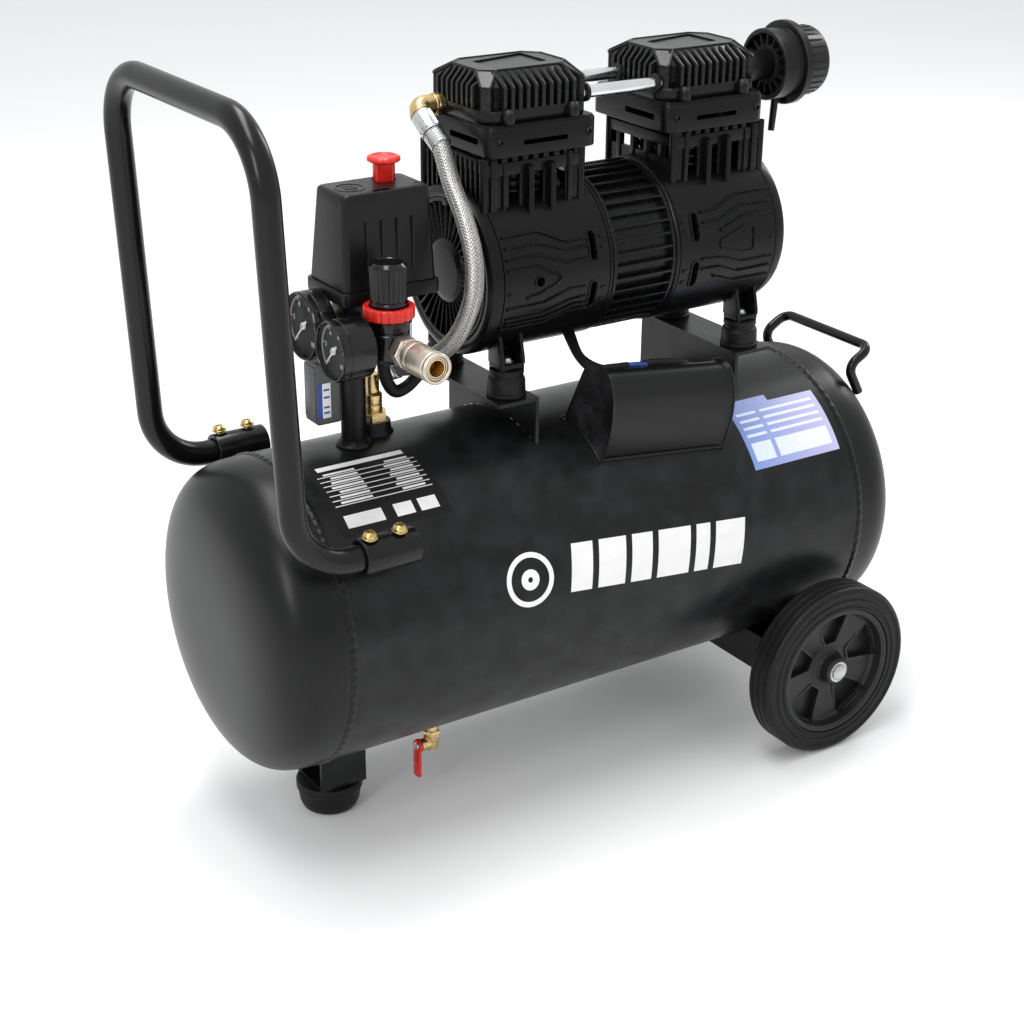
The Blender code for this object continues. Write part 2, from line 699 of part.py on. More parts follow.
def make_safety_valve():
    """Relief valve behind the port block, with a sprung pull ring on its stem."""
    y = 0.0110 + GAP
    body = lathe("safety_valve", [(0, 0.0260), (0.0055, 0.0260), (0.0055, 0.0110), (0.0078, 0.0110),
                                  (0.0078, 0), (0, 0)], (POST_X, y, PORT_Z), Y_AXIS, "brass", 16)
    cut(body, rod("relief_bore", 0.0021, 0.024, (POST_X, y + 0.0260, PORT_Z), Y_AXIS, sides=12))
    ring = lathe("safety_ring", ring_profile(0.0105, 0.0080, -0.0012, 0.0012),
                 (POST_X, y + 0.0385, PORT_Z), X_AXIS, "steel", 24)
    join(ring, rod("relief_stem", 0.0016, 0.0120, (POST_X, y + 0.0235, PORT_Z), Y_AXIS, sides=12))


# Pressure switch


def make_switch():
    box("switch_base", (-0.2005, -0.0345, SWITCH_BASE_Z), (-0.1175, 0.0265, SWITCH_JOIN_Z - GAP),
        "black_plastic", 0.0015)
    cover = tapered_box("switch_cover", (-0.1985, -0.0325, SWITCH_JOIN_Z), (-0.1195, 0.0245, SWITCH_TOP_Z),
                        (-0.1965, -0.0300), (-0.1235, 0.0140), "black_plastic")
    wall = 0.0025
    hollow = tapered_box("switch_cover_hollow", (-0.1985 + wall, -0.0325 + wall, SWITCH_JOIN_Z - 0.01),
                         (-0.1195 - wall, 0.0245 - wall, SWITCH_TOP_Z - wall),
                         (-0.1965 + wall, -0.0300 + wall), (-0.1235 - wall, 0.0140 - wall))
    cut(cover, hollow, rod("switch_knob_hole", 0.0092, 0.02, (*SWITCH_KNOB, SWITCH_TOP_Z), sides=28))
    lathe("switch_knob", [(0, 0.0180), (0.0110, 0.0180), (0.0127, 0.0165), (0.0127, 0.0145),
                          (0.0084, 0.0128), (0.0084, -0.0120), (0, -0.0120)],
          (*SWITCH_KNOB, SWITCH_TOP_Z), Z_AXIS, "red_plastic", 28)


def make_regulator():
    """Body with a wide lock ring and, above it, the adjusting knob on a hidden stem."""
    body, ring = 0.0168, 0.0192
    low, shoulder, top = 0.4010, 0.4345, 0.4440
    lathe("regulator_body", [(0, top - low), (ring, top - low), (ring, shoulder - low), (body, shoulder - low),
                             (body, 0.002), (body - 0.002, 0), (0, 0)],
          (POST_X, REGULATOR_Y, low), Z_AXIS, "black_plastic", 32)
    knob = 0.0139
    lathe("regulator_knob", [(0, 0.0325), (knob - 0.0025, 0.0325), (knob, 0.0300), (knob, 0), (0, 0)],
          (POST_X, REGULATOR_Y, top + GAP), Z_AXIS, "black_plastic", 32)


def make_coupler():
    """Quick coupler pointing to -Y: hexagon body with a turned nose and a sprung sliding sleeve."""
    z = 0.4145
    start = -REGULATOR_Y + 0.0168 + GAP
    away = Matrix.Rotation(math.pi / 2, 4, "X")
    body = lathe("coupler_body", [(0, 0.0500), (0.0088, 0.0500), (0.0088, 0.0115), (0.0102, 0.0115),
                                  (0.0102, 0), (0, 0)], (POST_X, -start, z), away, "nickel", 24)
    cut(body, rod("coupler_socket", 0.0052, 0.06, (POST_X, -start - 0.0500, z), away, sides=20))
    lathe("coupler_sleeve", ring_profile(0.0118, 0.0092, 0.0165, 0.0515), (POST_X, -start, z), away,
          "nickel", 32)


def make_gauge(name, face_x, y, z, radius, depth, stem_end_x):
    """Round case with a sunk dial, its back stem, and the pointer on the dial's pin."""
    recess, rim = 0.0050, 0.0022
    toward = Matrix.Rotation(-math.pi / 2, 4, "Y")
    stem_length = stem_end_x - (face_x + depth)
    lathe("gauge_" + name, [
        (0, -recess), (radius - rim, -recess), (radius - rim, 0), (radius, 0), (radius, -depth),
        (0.0052, -depth), (0.0052, -depth - stem_length), (0, -depth - stem_length),
    ], (face_x, y, z), toward, "black_plastic", 28)
    middle = face_x + recess - 0.0016
    reach = radius - rim - 0.004
    zero = Matrix.Translation((middle, y, z)) @ Matrix.Rotation(math.radians(-135), 4, "X")
    pointer = box(f"gauge_{name}_pointer", (-0.0004, -0.0009, -0.006), (0.0004, 0.0009, reach),
                  "white_paint", matrix=zero)
    join(pointer, rod(f"gauge_{name}_hub", 0.0028, 0.0014, (middle, y, z), X_AXIS, sides=16))


# Electrical parts


def make_capacitor_cover():
    """Pressed sheet cover welded a little askew on the tank's near shoulder, its left end closed."""
    start, end, thick = 0.003, 0.121, 0.0015
    skew = (-0.0100, -0.0115)
    section = [
        (-0.0353, 0.3077), (-0.0585, 0.3530), (-0.0640, 0.3605), (-0.0730, 0.3630), (-0.0810, 0.3600),
        (-0.0862, 0.3510), (-0.0880, 0.3370), (-0.0855, 0.3180), (-0.0753, 0.2874),
    ]
    bm = bmesh.new()
    rows = [[bm.verts.new((x, y + t * skew[0], z + t * skew[1])) for y, z in section]
            for x, t in ((start, 0), (end, 1))]
    for i in range(len(section) - 1):
        bm.faces.new((rows[0][i], rows[1][i], rows[1][i + 1], rows[0][i + 1]))
    bm.faces.new(rows[0])
    bmesh.ops.recalc_face_normals(bm, faces=bm.faces)
    cover = add("capacitor_cover", mesh_from(bm, "capacitor_cover"), "powder_coat")
    shell = cover.modifiers.new("sheet", "SOLIDIFY")
    shell.thickness = thick
    shell.offset = 0.0
    cut(cover, tank_cutter("capacitor_cover_trim"))


def make_motor_lead():
    """Sleeved lead from the switch base, hanging in a short bend, to the left pump's end."""
    route = [
        (-0.1485, 0.0020, SWITCH_BASE_Z - GAP), (-0.1490, 0.0020, 0.4150), (-0.1492, 0.0010, 0.3880),
        (-0.1480, 0.0000, 0.3660), (-0.1400, 0.0000, 0.3520), (-0.1290, 0.0000, 0.3530),
        (-0.1180, 0.0000, 0.3610), (-0.1080, 0.0000, 0.3690), (-0.0980, 0.0000, 0.3735),
        (-0.0900, 0.0000, 0.3755),
    ]
    tube("motor_lead", smooth_path(route, 2), 0.0052, "black_rubber", 2)


# Drain


def make_drain():
    x, y = DRAIN
    low = 0.0440
    body = lathe("drain_valve", [(0, 0.0228), (0.0068, 0.0228), (0.0068, 0.0100), (0.0060, 0.0090),
                                 (0.0060, 0), (0, 0)], (x, y, low), Z_AXIS, "brass", 20)
    join(body, rod("drain_boss", 0.0055, 0.0110, (x - 0.0055, y, DRAIN_HUB_Z), X_AXIS, sides=16))
    hub_x = x - 0.0110 - GAP
    lever = rod("drain_lever", 0.0062, 0.0032, (hub_x - 0.0016, y, DRAIN_HUB_Z), X_AXIS, "red_plastic", 20)
    join(lever, box("drain_lever_grip", (hub_x - 0.0040, y - 0.0048, DRAIN_HUB_Z - 0.0285),
                    (hub_x - 0.0008, y + 0.0048, DRAIN_HUB_Z - 0.0035), bevel=0.001))


def build():
    make_tank()
    make_handle()
    make_bail()
    make_foot()
    make_axle_bracket()
    make_wheels()
    make_supports()
    make_stator()
    make_rotor()
    make_fans()
    for end, side in (("left", -1), ("right", 1)):
        make_crankcase("crankcase_" + end, side)
        make_end_grille("end_grille_" + end, side)
        make_piston("piston_" + end, side)
        make_valve_plate("valve_plate_" + end, side)
        make_head_cover("head_cover_" + end, side)
    make_head_tubes()
    make_filter()
    make_elbow_and_hose()
    make_check_valve()
    make_standpipe()
    make_safety_valve()
    make_switch()
    make_regulator()
    make_coupler()
    make_gauge("tank", -0.2204, 0.0, 0.4185, 0.0262, 0.0195, POST_X - 0.0110 - GAP)
    make_gauge("outlet", -0.2265, REGULATOR_Y, PORT_Z, 0.0228, 0.0290, POST_X - 0.0168 - GAP)
    make_capacitor_cover()
    make_motor_lead()
    make_drain()


build()
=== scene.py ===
"""Looks of the portable twin-cylinder air compressor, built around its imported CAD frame.

Every mesh is made in the row frame, in metres: +X towards the wheels, -Y the coupler side, +Z up.
"""

import math

import bmesh
import bpy
from mathutils import Matrix, Vector


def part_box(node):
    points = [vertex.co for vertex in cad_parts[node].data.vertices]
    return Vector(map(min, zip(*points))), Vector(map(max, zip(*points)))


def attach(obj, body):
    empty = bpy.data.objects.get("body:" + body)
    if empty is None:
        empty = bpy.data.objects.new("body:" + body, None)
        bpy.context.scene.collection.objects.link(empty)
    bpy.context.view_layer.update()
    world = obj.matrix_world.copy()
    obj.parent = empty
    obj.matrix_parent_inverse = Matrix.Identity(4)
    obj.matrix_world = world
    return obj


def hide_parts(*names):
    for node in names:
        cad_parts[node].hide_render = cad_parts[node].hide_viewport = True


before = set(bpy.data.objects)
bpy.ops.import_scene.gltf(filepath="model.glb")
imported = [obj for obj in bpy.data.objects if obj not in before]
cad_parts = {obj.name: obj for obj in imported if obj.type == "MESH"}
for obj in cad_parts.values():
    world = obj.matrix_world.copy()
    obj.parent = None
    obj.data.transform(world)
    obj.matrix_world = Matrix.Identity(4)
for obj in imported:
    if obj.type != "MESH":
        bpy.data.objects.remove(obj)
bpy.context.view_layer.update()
SIDES = {"left": -1, "right": 1}
ENDS = {"near": -1, "far": 1}
DOWN, UP, NEAR, LEFT, RIGHT = (0, 0, -1), (0, 0, 1), (0, -1, 0), (-1, 0, 0), (1, 0, 0)


def middle(node):
    low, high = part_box(node)
    return (low + high) / 2


def extent(node):
    low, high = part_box(node)
    return high - low


TANK = middle("tank_shell")
TANK_RADIUS = extent("tank_shell").z / 2
SEAM_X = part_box("tank_shell")[1].x
TANK_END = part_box("tank_head_right")[1].x
MOTOR = middle("stator")
DRUM_RADIUS = 0.0675
CYLINDER_OFFSET = 0.0835
BORE_RADIUS = 0.0256
DRUM_SLOT_OFFSET = 0.0505
DRUM_SLOT_ANGLES = ((29, 8.5), (-5, -25))
PLUG_OFFSET, PLUG_ANGLE, PLUG_RADIUS = 0.1013, 1, 0.0037
KNOB_SPOT = (-0.1453, 0.0009)
GLAND_SPOT = (-0.1485, 0.002)


# Materials


class Nodes:
    """Short calls for the nodes of one material."""

    def __init__(self, name):
        self.material = bpy.data.materials.new(name)
        self.material.use_nodes = True
        self.tree = self.material.node_tree
        self.shader = self.tree.nodes["Principled BSDF"]

    def node(self, kind, inputs=(), **settings):
        made = self.tree.nodes.new(kind)
        for key, value in settings.items():
            setattr(made, key, value)
        for key, value in dict(inputs).items():
            if isinstance(value, bpy.types.NodeSocket):
                self.tree.links.new(value, made.inputs[key])
            else:
                made.inputs[key].default_value = value
        return made

    def place(self, stretch=(1, 1, 1)):
        coords = self.node("ShaderNodeTexCoord").outputs["Object"]
        if stretch == (1, 1, 1):
            return coords
        return self.node("ShaderNodeMapping", {"Vector": coords, "Scale": stretch}).outputs[0]

    def noise(self, scale, detail=3.0, stretch=(1, 1, 1), roughness=0.55):
        return self.node("ShaderNodeTexNoise", {"Vector": self.place(stretch), "Scale": scale,
                                                "Detail": detail, "Roughness": roughness}).outputs["Fac"]

    def spread(self, value, low, high, to_low=0.0, to_high=1.0):
        return self.node("ShaderNodeMapRange", {"Value": value, "From Min": low, "From Max": high,
                                                "To Min": to_low, "To Max": to_high}).outputs["Result"]

    def math(self, operation, *values):
        return self.node("ShaderNodeMath", dict(enumerate(values)), operation=operation).outputs[0]

    def mix(self, factor, first, second):
        made = self.node("ShaderNodeMix", {0: factor, 6: first, 7: second}, data_type="RGBA")
        return made.outputs[2]

    def feed(self, **sockets):
        for key, value in sockets.items():
            socket = self.shader.inputs[key.replace("_", " ")]
            if isinstance(value, bpy.types.NodeSocket):
                self.tree.links.new(value, socket)
            else:
                socket.default_value = value


def shade(colour, factor):
    return (*(min(1.0, channel * factor) for channel in colour), 1.0)


def surface(name, colour, rough, metallic=0.0, mottle=35.0, tint=0.25, grain=900.0, depth=0.00006,
            stretch=(1, 1, 1), edge_wear_and_highlight=None, coat=0.0, specular=0.5, spread=0.08, pits=False):
    """A finish with colour mottling, uneven roughness, a fine relief, and edges painted lighter: partly
    rubbed wear, partly a painted highlight.
    """
    kit = Nodes(name)
    cloud = kit.spread(kit.noise(mottle, 5.0), 0.3, 0.7)
    colour_out = kit.mix(cloud, shade(colour, 1 - tint), shade(colour, 1 + tint))
    fine = kit.noise(grain, 3.0, stretch)
    streak = kit.noise(mottle * 3.1, 4.0, stretch)
    rough_out = kit.spread(streak, 0.25, 0.75, max(0.02, rough - spread), min(1.0, rough + spread))
    # Convex edges, found by Pointiness, take the lighter edge colour: partly rubbed wear, partly a painted
    # highlight.
    if edge_wear_and_highlight:
        edge = kit.spread(kit.node("ShaderNodeNewGeometry").outputs["Pointiness"], 0.535, 0.62)
        rubbed_and_highlit = kit.math("MULTIPLY", edge, kit.spread(kit.noise(mottle * 6, 4.0), 0.35, 0.75))
        colour_out = kit.mix(rubbed_and_highlit, colour_out, (*edge_wear_and_highlight, 1.0))
        rough_out = kit.math("SUBTRACT", rough_out, kit.math("MULTIPLY", rubbed_and_highlit, 0.08))
    height = fine
    if pits:
        cells = kit.node("ShaderNodeTexVoronoi", {"Vector": kit.place(), "Scale": grain * 0.7})
        height = kit.math("ADD", fine, kit.math("MULTIPLY", cells.outputs["Distance"], 0.8))
    bump = kit.node("ShaderNodeBump", {"Height": height, "Distance": depth, "Strength": 1.0})
    kit.feed(Base_Color=colour_out, Roughness=rough_out, Metallic=metallic, Normal=bump.outputs[0],
             Coat_Weight=coat, Coat_Roughness=0.12)
    kit.shader.inputs["Specular IOR Level"].default_value = specular
    return kit.material


def glass():
    """A clear pane: only a faint film of reflection is left of it."""
    kit = Nodes("gauge_glass")
    smear = kit.spread(kit.noise(160.0, 4.0), 0.3, 0.8, 0.01, 0.06)
    kit.feed(Base_Color=(0.02, 0.02, 0.02, 1), Roughness=smear, Alpha=0.06)
    return kit.material


def braid_steel():
    """Stainless wire, with painted shade darkening it down between the bundles."""
    kit = Nodes("braid_steel")
    tone = kit.mix(kit.spread(kit.noise(900.0, 3.0), 0.3, 0.7), (0.3, 0.295, 0.28, 1), (0.62, 0.61, 0.59, 1))
    # Painted shade: the hollows between the bundles, found by Pointiness, are mixed towards near black.
    low = kit.spread(kit.node("ShaderNodeNewGeometry").outputs["Pointiness"], 0.42, 0.52, 0.25, 1.0)
    shaded = kit.mix(low, (0.06, 0.06, 0.06, 1), tone)
    bump = kit.node("ShaderNodeBump", {"Height": kit.noise(2600.0, 2.0), "Distance": 0.00005,
                                       "Strength": 1.0})
    rough = kit.spread(kit.noise(260.0, 3.0), 0.3, 0.7, 0.32, 0.48)
    kit.feed(Base_Color=shaded, Metallic=1.0, Roughness=rough, Normal=bump.outputs[0])
    return kit.material


def sticker(name, first, second, axis, start, end, gloss=0.3):
    """A printed film whose colour runs from one tone to another along an axis of the row frame."""
    kit = Nodes(name)
    split = kit.node("ShaderNodeSeparateXYZ", {"Vector": kit.place()}).outputs[axis]
    ramp = kit.spread(split, start, end)
    speck = kit.spread(kit.noise(400.0, 4.0), 0.3, 0.7, 0.94, 1.0)
    blend = kit.mix(ramp, (*first, 1), (*second, 1))
    tone = kit.mix(speck, (0.02, 0.02, 0.02, 1), blend)
    bump = kit.node("ShaderNodeBump", {"Height": kit.noise(240.0, 3.0), "Distance": 0.00005})
    rough = kit.spread(kit.noise(60.0, 3.0), 0.3, 0.7, gloss - 0.06, gloss + 0.08)
    kit.feed(Base_Color=tone, Roughness=rough, Normal=bump.outputs[0])
    return kit.material


# Lighter colour for the black finishes' edges: partly rubbed wear, partly a painted highlight.
BLACK_EDGE_WEAR_AND_HIGHLIGHT = (0.013, 0.0135, 0.0145)
M = {
    "coat": surface("powder_coat", (0.0042, 0.0044, 0.0047), 0.33, grain=520, depth=0.000006, mottle=7,
                    tint=0.03, edge_wear_and_highlight=(0.016, 0.017, 0.018), specular=0.24, spread=0.004),
    "gloss_coat": surface("gloss_coat", (0.0036, 0.0037, 0.004), 0.24, grain=600, depth=0.000006,
                          mottle=9, tint=0.08, edge_wear_and_highlight=(0.016, 0.016, 0.017), specular=0.3, spread=0.01),
    "cast": surface("cast_black", (0.0024, 0.0025, 0.0028), 0.29, grain=900, depth=0.000005, mottle=60,
                    tint=0.08, edge_wear_and_highlight=BLACK_EDGE_WEAR_AND_HIGHLIGHT, specular=0.2, spread=0.02),
    "head": surface("head_black", (0.0036, 0.0037, 0.004), 0.27, grain=900,
                    depth=0.000005, mottle=60, tint=0.08, edge_wear_and_highlight=(0.02, 0.0205, 0.022), specular=0.26,
                    spread=0.02),
    "cover_coat": surface("cover_coat", (0.005, 0.0052, 0.0056), 0.3, grain=600,
                          depth=0.000008, mottle=8, tint=0.06, edge_wear_and_highlight=(0.03, 0.03, 0.032), specular=0.27,
                          spread=0.03),
    "plastic": surface("black_plastic", (0.0045, 0.0045, 0.0049), 0.34, grain=1200, depth=0.00001,
                       mottle=60, tint=0.12, edge_wear_and_highlight=(0.024, 0.024, 0.025), specular=0.26, spread=0.05),
    "gloss_plastic": surface("gloss_plastic", (0.0034, 0.0034, 0.0038), 0.16, grain=1300,
                             depth=0.000006, mottle=60, tint=0.15, edge_wear_and_highlight=(0.04, 0.04, 0.042),
                             spread=0.04, specular=0.42),
    "rubber": surface("black_rubber", (0.0052, 0.0053, 0.0055), 0.5, grain=1200, depth=0.00002,
                      mottle=70, tint=0.2, edge_wear_and_highlight=(0.022, 0.022, 0.022), specular=0.24),
    "wheel": surface("wheel_plastic", (0.012, 0.0122, 0.0128), 0.38, grain=1000, depth=0.00001,
                     mottle=40, tint=0.12, edge_wear_and_highlight=(0.04, 0.04, 0.042), specular=0.3, spread=0.05),
    "red": surface("red_plastic", (0.66, 0.016, 0.01), 0.3, grain=1300, depth=0.00001, mottle=90,
                   tint=0.1, edge_wear_and_highlight=(0.78, 0.1, 0.07)),
    "brass": surface("brass", (0.72, 0.52, 0.24), 0.28, metallic=1.0, grain=1500, depth=0.00002,
                     mottle=160, tint=0.14, edge_wear_and_highlight=(0.92, 0.76, 0.45)),
    "nickel": surface("nickel", (0.62, 0.56, 0.47), 0.42, metallic=1.0, grain=1400, depth=0.00002,
                      mottle=120, tint=0.1, edge_wear_and_highlight=(0.82, 0.77, 0.69)),
    "zinc": surface("zinc", (0.6, 0.62, 0.63), 0.3, metallic=1.0, grain=1400, depth=0.00002,
                    mottle=140, tint=0.12, edge_wear_and_highlight=(0.9, 0.9, 0.9)),
    "gold_zinc": surface("gold_zinc", (0.62, 0.47, 0.19), 0.28, metallic=1.0, grain=1600,
                         depth=0.00002, mottle=260, tint=0.25, edge_wear_and_highlight=(0.9, 0.78, 0.45)),
    "steel": surface("steel", (0.52, 0.52, 0.53), 0.3, metallic=1.0, grain=1500, depth=0.00002,
                     mottle=110, tint=0.14, edge_wear_and_highlight=(0.85, 0.85, 0.85)),
    "dark_steel": surface("dark_steel", (0.035, 0.035, 0.037), 0.32, metallic=0.6, grain=1500,
                          depth=0.00001, mottle=120, tint=0.15, edge_wear_and_highlight=(0.2, 0.2, 0.2)),
    "aluminium": surface("aluminium", (0.76, 0.77, 0.78), 0.22, metallic=1.0, grain=500,
                         depth=0.00001, mottle=60, tint=0.06, stretch=(0.04, 1, 1)),
    "dial": surface("dial_black", (0.0035, 0.0035, 0.004), 0.5, grain=2600, depth=0.000006, mottle=120,
                    tint=0.2, specular=0.25),
    "white": surface("white_paint", (0.8, 0.8, 0.79), 0.45, grain=1500, depth=0.00001, mottle=80,
                     tint=0.04),
    "grey_box": surface("grey_plastic", (0.06, 0.062, 0.064), 0.4, grain=1700, depth=0.00002,
                        mottle=60, tint=0.12, edge_wear_and_highlight=(0.09, 0.09, 0.09)),
    "blue": surface("blue_insulation", (0.016, 0.06, 0.3), 0.38, grain=1400, depth=0.00002,
                    mottle=90, tint=0.15),
    "sponge": surface("filter_sponge", (0.008, 0.008, 0.009), 0.85, grain=900, depth=0.0003, mottle=300,
                      tint=0.4, pits=True, specular=0.2), "glass": glass(), "braid": braid_steel(),
    "notice": sticker("notice_film", (0.17, 0.27, 0.6), (0.52, 0.5, 0.74), "X", 0.14, 0.24),
    "notice_bars": sticker("notice_bars", (0.62, 0.72, 0.9), (0.84, 0.82, 0.92), "X", 0.14, 0.24),
}
SLOT_FINISHES = {
    "powder_coat": "coat gloss_coat cover_coat",
    "cast_black": "cast head",
    "black_plastic": "plastic gloss_plastic grey_box glass",
    "black_rubber": "rubber sponge",
    "wheel_plastic": "wheel",
    "red_plastic": "red",
    "brass": "brass gold_zinc",
    "nickel": "nickel",
    "steel": "zinc steel dark_steel",
    "aluminium": "aluminium",
    "braid": "braid",
    "white_paint": "dial white notice notice_bars blue",
}
SLOTS = {finish: slot for slot, finishes in SLOT_FINISHES.items() for finish in finishes.split()}


# Geometry


def arcs(points, radius, steps=4, closed=False):
    """The path with its corners rounded to this radius, or to what its legs allow."""
    points = [Vector(point) for point in points]
    count = len(points)
    path = []
    for i, corner in enumerate(points):
        if not closed and i in (0, count - 1):
            path.append(corner)
            continue
        back, ahead = points[i - 1] - corner, points[(i + 1) % count] - corner
        reach = 0.49 * min(back.length, ahead.length)
        back.normalize()
        ahead.normalize()
        half = back.angle(ahead) / 2
        if half > math.radians(86):
            path.append(corner)
            continue
        run = min(radius / math.tan(half), reach)
        centre = corner + (back + ahead).normalized() * (run / math.cos(half))
        start, end = corner + back * run - centre, corner + ahead * run - centre
        reach = start.length
        path += [centre + start.slerp(end, j / steps).normalized() * reach for j in range(steps + 1)]
    return path


def smooth_path(points, per_span=6):
    """A Catmull-Rom curve through the points."""
    knots = [Vector(point) for point in points]
    knots = [2 * knots[0] - knots[1]] + knots + [2 * knots[-1] - knots[-2]]
    path = []
    for a, b, c, d in zip(knots, knots[1:], knots[2:], knots[3:]):
        for i in range(per_span):
            t = i / per_span
            path.append(0.5 * (2 * b + (c - a) * t + (2 * a - 5 * b + 4 * c - d) * t * t
                               + (3 * b - a - 3 * c + d) * t ** 3))
    path.append(knots[-2])
    return path


def shift(x, y, z):
    return Matrix.Translation((x, y, z))


def aim(origin, direction, twist=0.0):
    """A frame at the origin whose +Z is the direction."""
    turn = Vector(direction).to_track_quat("Z", "Y").to_matrix().to_4x4()
    return Matrix.Translation(origin) @ turn @ Matrix.Rotation(twist, 4, "Z")


def facing_right(x, y=0, z=0):
    """A frame for outlines drawn in Y and Z: its +Z is the row frame's +X."""
    return Matrix(((0, 0, 1, x), (1, 0, 0, y), (0, 1, 0, z), (0, 0, 0, 1)))


def circle(radius, count, start=0.0):
    turns = [start + math.tau * i / count for i in range(count)]
    return [(radius * math.cos(a), radius * math.sin(a)) for a in turns]


def rod(radius, low, high):
    """The half section of a plain cylinder along +Z."""
    return [(0, low), (radius, low), (radius, high), (0, high)]


def rectangle(low_x, low_y, high_x, high_y):
    return [(low_x, low_y), (high_x, low_y), (high_x, high_y), (low_x, high_y)]


def on_drum(offset, degrees, side, face, lift=0.0):
    """A point over the motor's drum: distance from its middle, and angle above the near or far side."""
    angle = math.radians(degrees)
    radius = DRUM_RADIUS + lift
    return MOTOR + Vector((side * offset, face * radius * math.cos(angle), radius * math.sin(angle)))


def on_tank(x, degrees, lift=0.0):
    """A point over the tank's surface: X, and angle above the near side."""
    angle = math.radians(degrees)
    radius = TANK_RADIUS + lift
    return Vector((x, TANK.y - radius * math.cos(angle), TANK.z + radius * math.sin(angle)))


def add_object(name, data):
    made = bpy.data.objects.new(name, data)
    bpy.context.scene.collection.objects.link(made)
    return made


class Shape:
    """Closed solids gathered into one mesh, in the row frame."""

    def __init__(self):
        self.bm = bmesh.new()

    def absorb(self, other, matrix=None):
        mesh = bpy.data.meshes.new("part")
        if isinstance(other, bmesh.types.BMesh):
            other.to_mesh(mesh)
            other.free()
        else:
            other.bm.to_mesh(mesh)
        if matrix is not None:
            mesh.transform(matrix)
        self.bm.from_mesh(mesh)
        bpy.data.meshes.remove(mesh)
        return self

    def box(self, low, high, bevel=0.0008, matrix=None, segments=2):
        bm = bmesh.new()
        bmesh.ops.create_cube(bm, size=1.0)
        low, high = Vector(low), Vector(high)
        bmesh.ops.scale(bm, vec=high - low, verts=bm.verts)
        bmesh.ops.translate(bm, vec=(high + low) / 2, verts=bm.verts)
        limit = 0.3 * min(high - low)
        if bevel:
            bmesh.ops.bevel(bm, geom=bm.edges[:], offset=min(bevel, limit), segments=segments,
                            profile=0.5, affect="EDGES")
        return self.absorb(bm, matrix)

    def turn(self, profile, matrix, steps=64, soften=0.0, corner_steps=3, wave=None):
        """A turned solid. A profile that leaves the axis at both ends is a ring."""
        ring = profile[0][0] > 1e-6
        points = [Vector(point) for point in profile]
        if soften:
            points = arcs(points, soften, corner_steps, closed=ring)
        bm = bmesh.new()
        rows = []
        for radius, height in points:
            if radius < 1e-6:
                rows.append([bm.verts.new((0, 0, height))] * steps)
                continue
            row = []
            for i in range(steps):
                angle = math.tau * i / steps
                reach = radius if wave is None else wave(radius, height, angle)
                row.append(bm.verts.new((reach * math.cos(angle), reach * math.sin(angle), height)))
            rows.append(row)
        if ring:
            rows.append(rows[0])
        self.skin(bm, rows, True)
        return self.absorb(bm, matrix)

    def skin(self, bm, rows, around):
        for first, second in zip(rows, rows[1:]):
            count = len(first)
            for i in range(count if around else count - 1):
                j = (i + 1) % count
                corners = []
                for vert in (first[i], first[j], second[j], second[i]):
                    if vert not in corners:
                        corners.append(vert)
                if len(corners) > 2:
                    bm.faces.new(corners)

    def loft(self, rings, matrix=None):
        """Rings of points with equal counts, skinned and capped."""
        bm = bmesh.new()
        rows = [[bm.verts.new(point) for point in ring] for ring in rings]
        self.skin(bm, rows, True)
        bm.faces.new(rows[0])
        bm.faces.new(rows[-1])
        return self.absorb(bm, matrix)

    def prism(self, outline, low, high, matrix=None, bevel=0.0, soften=0.0, steps=4):
        """A flat outline raised from low to high, with rounded corners and rounded rims."""
        points = [Vector(point) for point in outline]
        if soften:
            points = arcs(points, soften, steps, closed=True)
        if not bevel:
            return self.loft([[(x, y, z) for x, y in points] for z in (low, high)], matrix)
        rings = []
        for z, way in ((low, 1), (high, -1)):
            for i in range(3):
                angle = math.pi / 2 * (i if way > 0 else 2 - i) / 2
                inset = bevel * (1 - math.sin(angle))
                rings.append([(x, y, z + way * bevel * (1 - math.cos(angle)))
                              for x, y in shrink(points, inset)])
        return self.loft(rings, matrix)

    def sweep(self, points, section, ups=None, closed=False, swell=None):
        """A section of (side, up) offsets carried along a path."""
        points = [Vector(point) for point in points]
        count = len(points)
        tangents = []
        for i in range(count):
            before = points[i - 1] if i or closed else points[0]
            after = points[(i + 1) % count] if i < count - 1 or closed else points[-1]
            tangents.append((after - before).normalized())
        if ups is None:
            seed = Vector((0, 0, 1)) if abs(tangents[0].z) < 0.9 else Vector((1, 0, 0))
            ups, up = [], (seed - tangents[0] * seed.dot(tangents[0])).normalized()
            for tangent in tangents:
                up = (up - tangent * up.dot(tangent)).normalized()
                ups.append(up)
        bm = bmesh.new()
        rows = []
        distance = 0.0
        for i, (point, tangent, up) in enumerate(zip(points, tangents, ups)):
            if i:
                distance += (point - points[i - 1]).length
            up = (Vector(up) - tangent * Vector(up).dot(tangent)).normalized()
            side = tangent.cross(up)
            row = []
            for k, (across, rise) in enumerate(section):
                grow = 1.0 if swell is None else swell(k / len(section), distance)
                row.append(bm.verts.new(point + (side * across + up * rise) * grow))
            rows.append(row)
        if closed:
            rows.append(rows[0])
        self.skin(bm, rows, True)
        if not closed:
            bm.faces.new(rows[0])
            bm.faces.new(rows[-1])
        return self.absorb(bm)

    def tube(self, points, radius, sides=24, closed=False, swell=None):
        return self.sweep(points, circle(radius, sides), closed=closed, swell=swell)

    def bead(self, points, width, height, ups, sink=0.0004):
        """A raised line with sloping flanks on a surface whose normals are ups."""
        half = width / 2
        section = [(-half, -sink), (half, -sink), (half * 0.62, height * 0.8), (half * 0.35, height),
                   (-half * 0.35, height), (-half * 0.62, height * 0.8)]
        return self.sweep(points, section, ups)

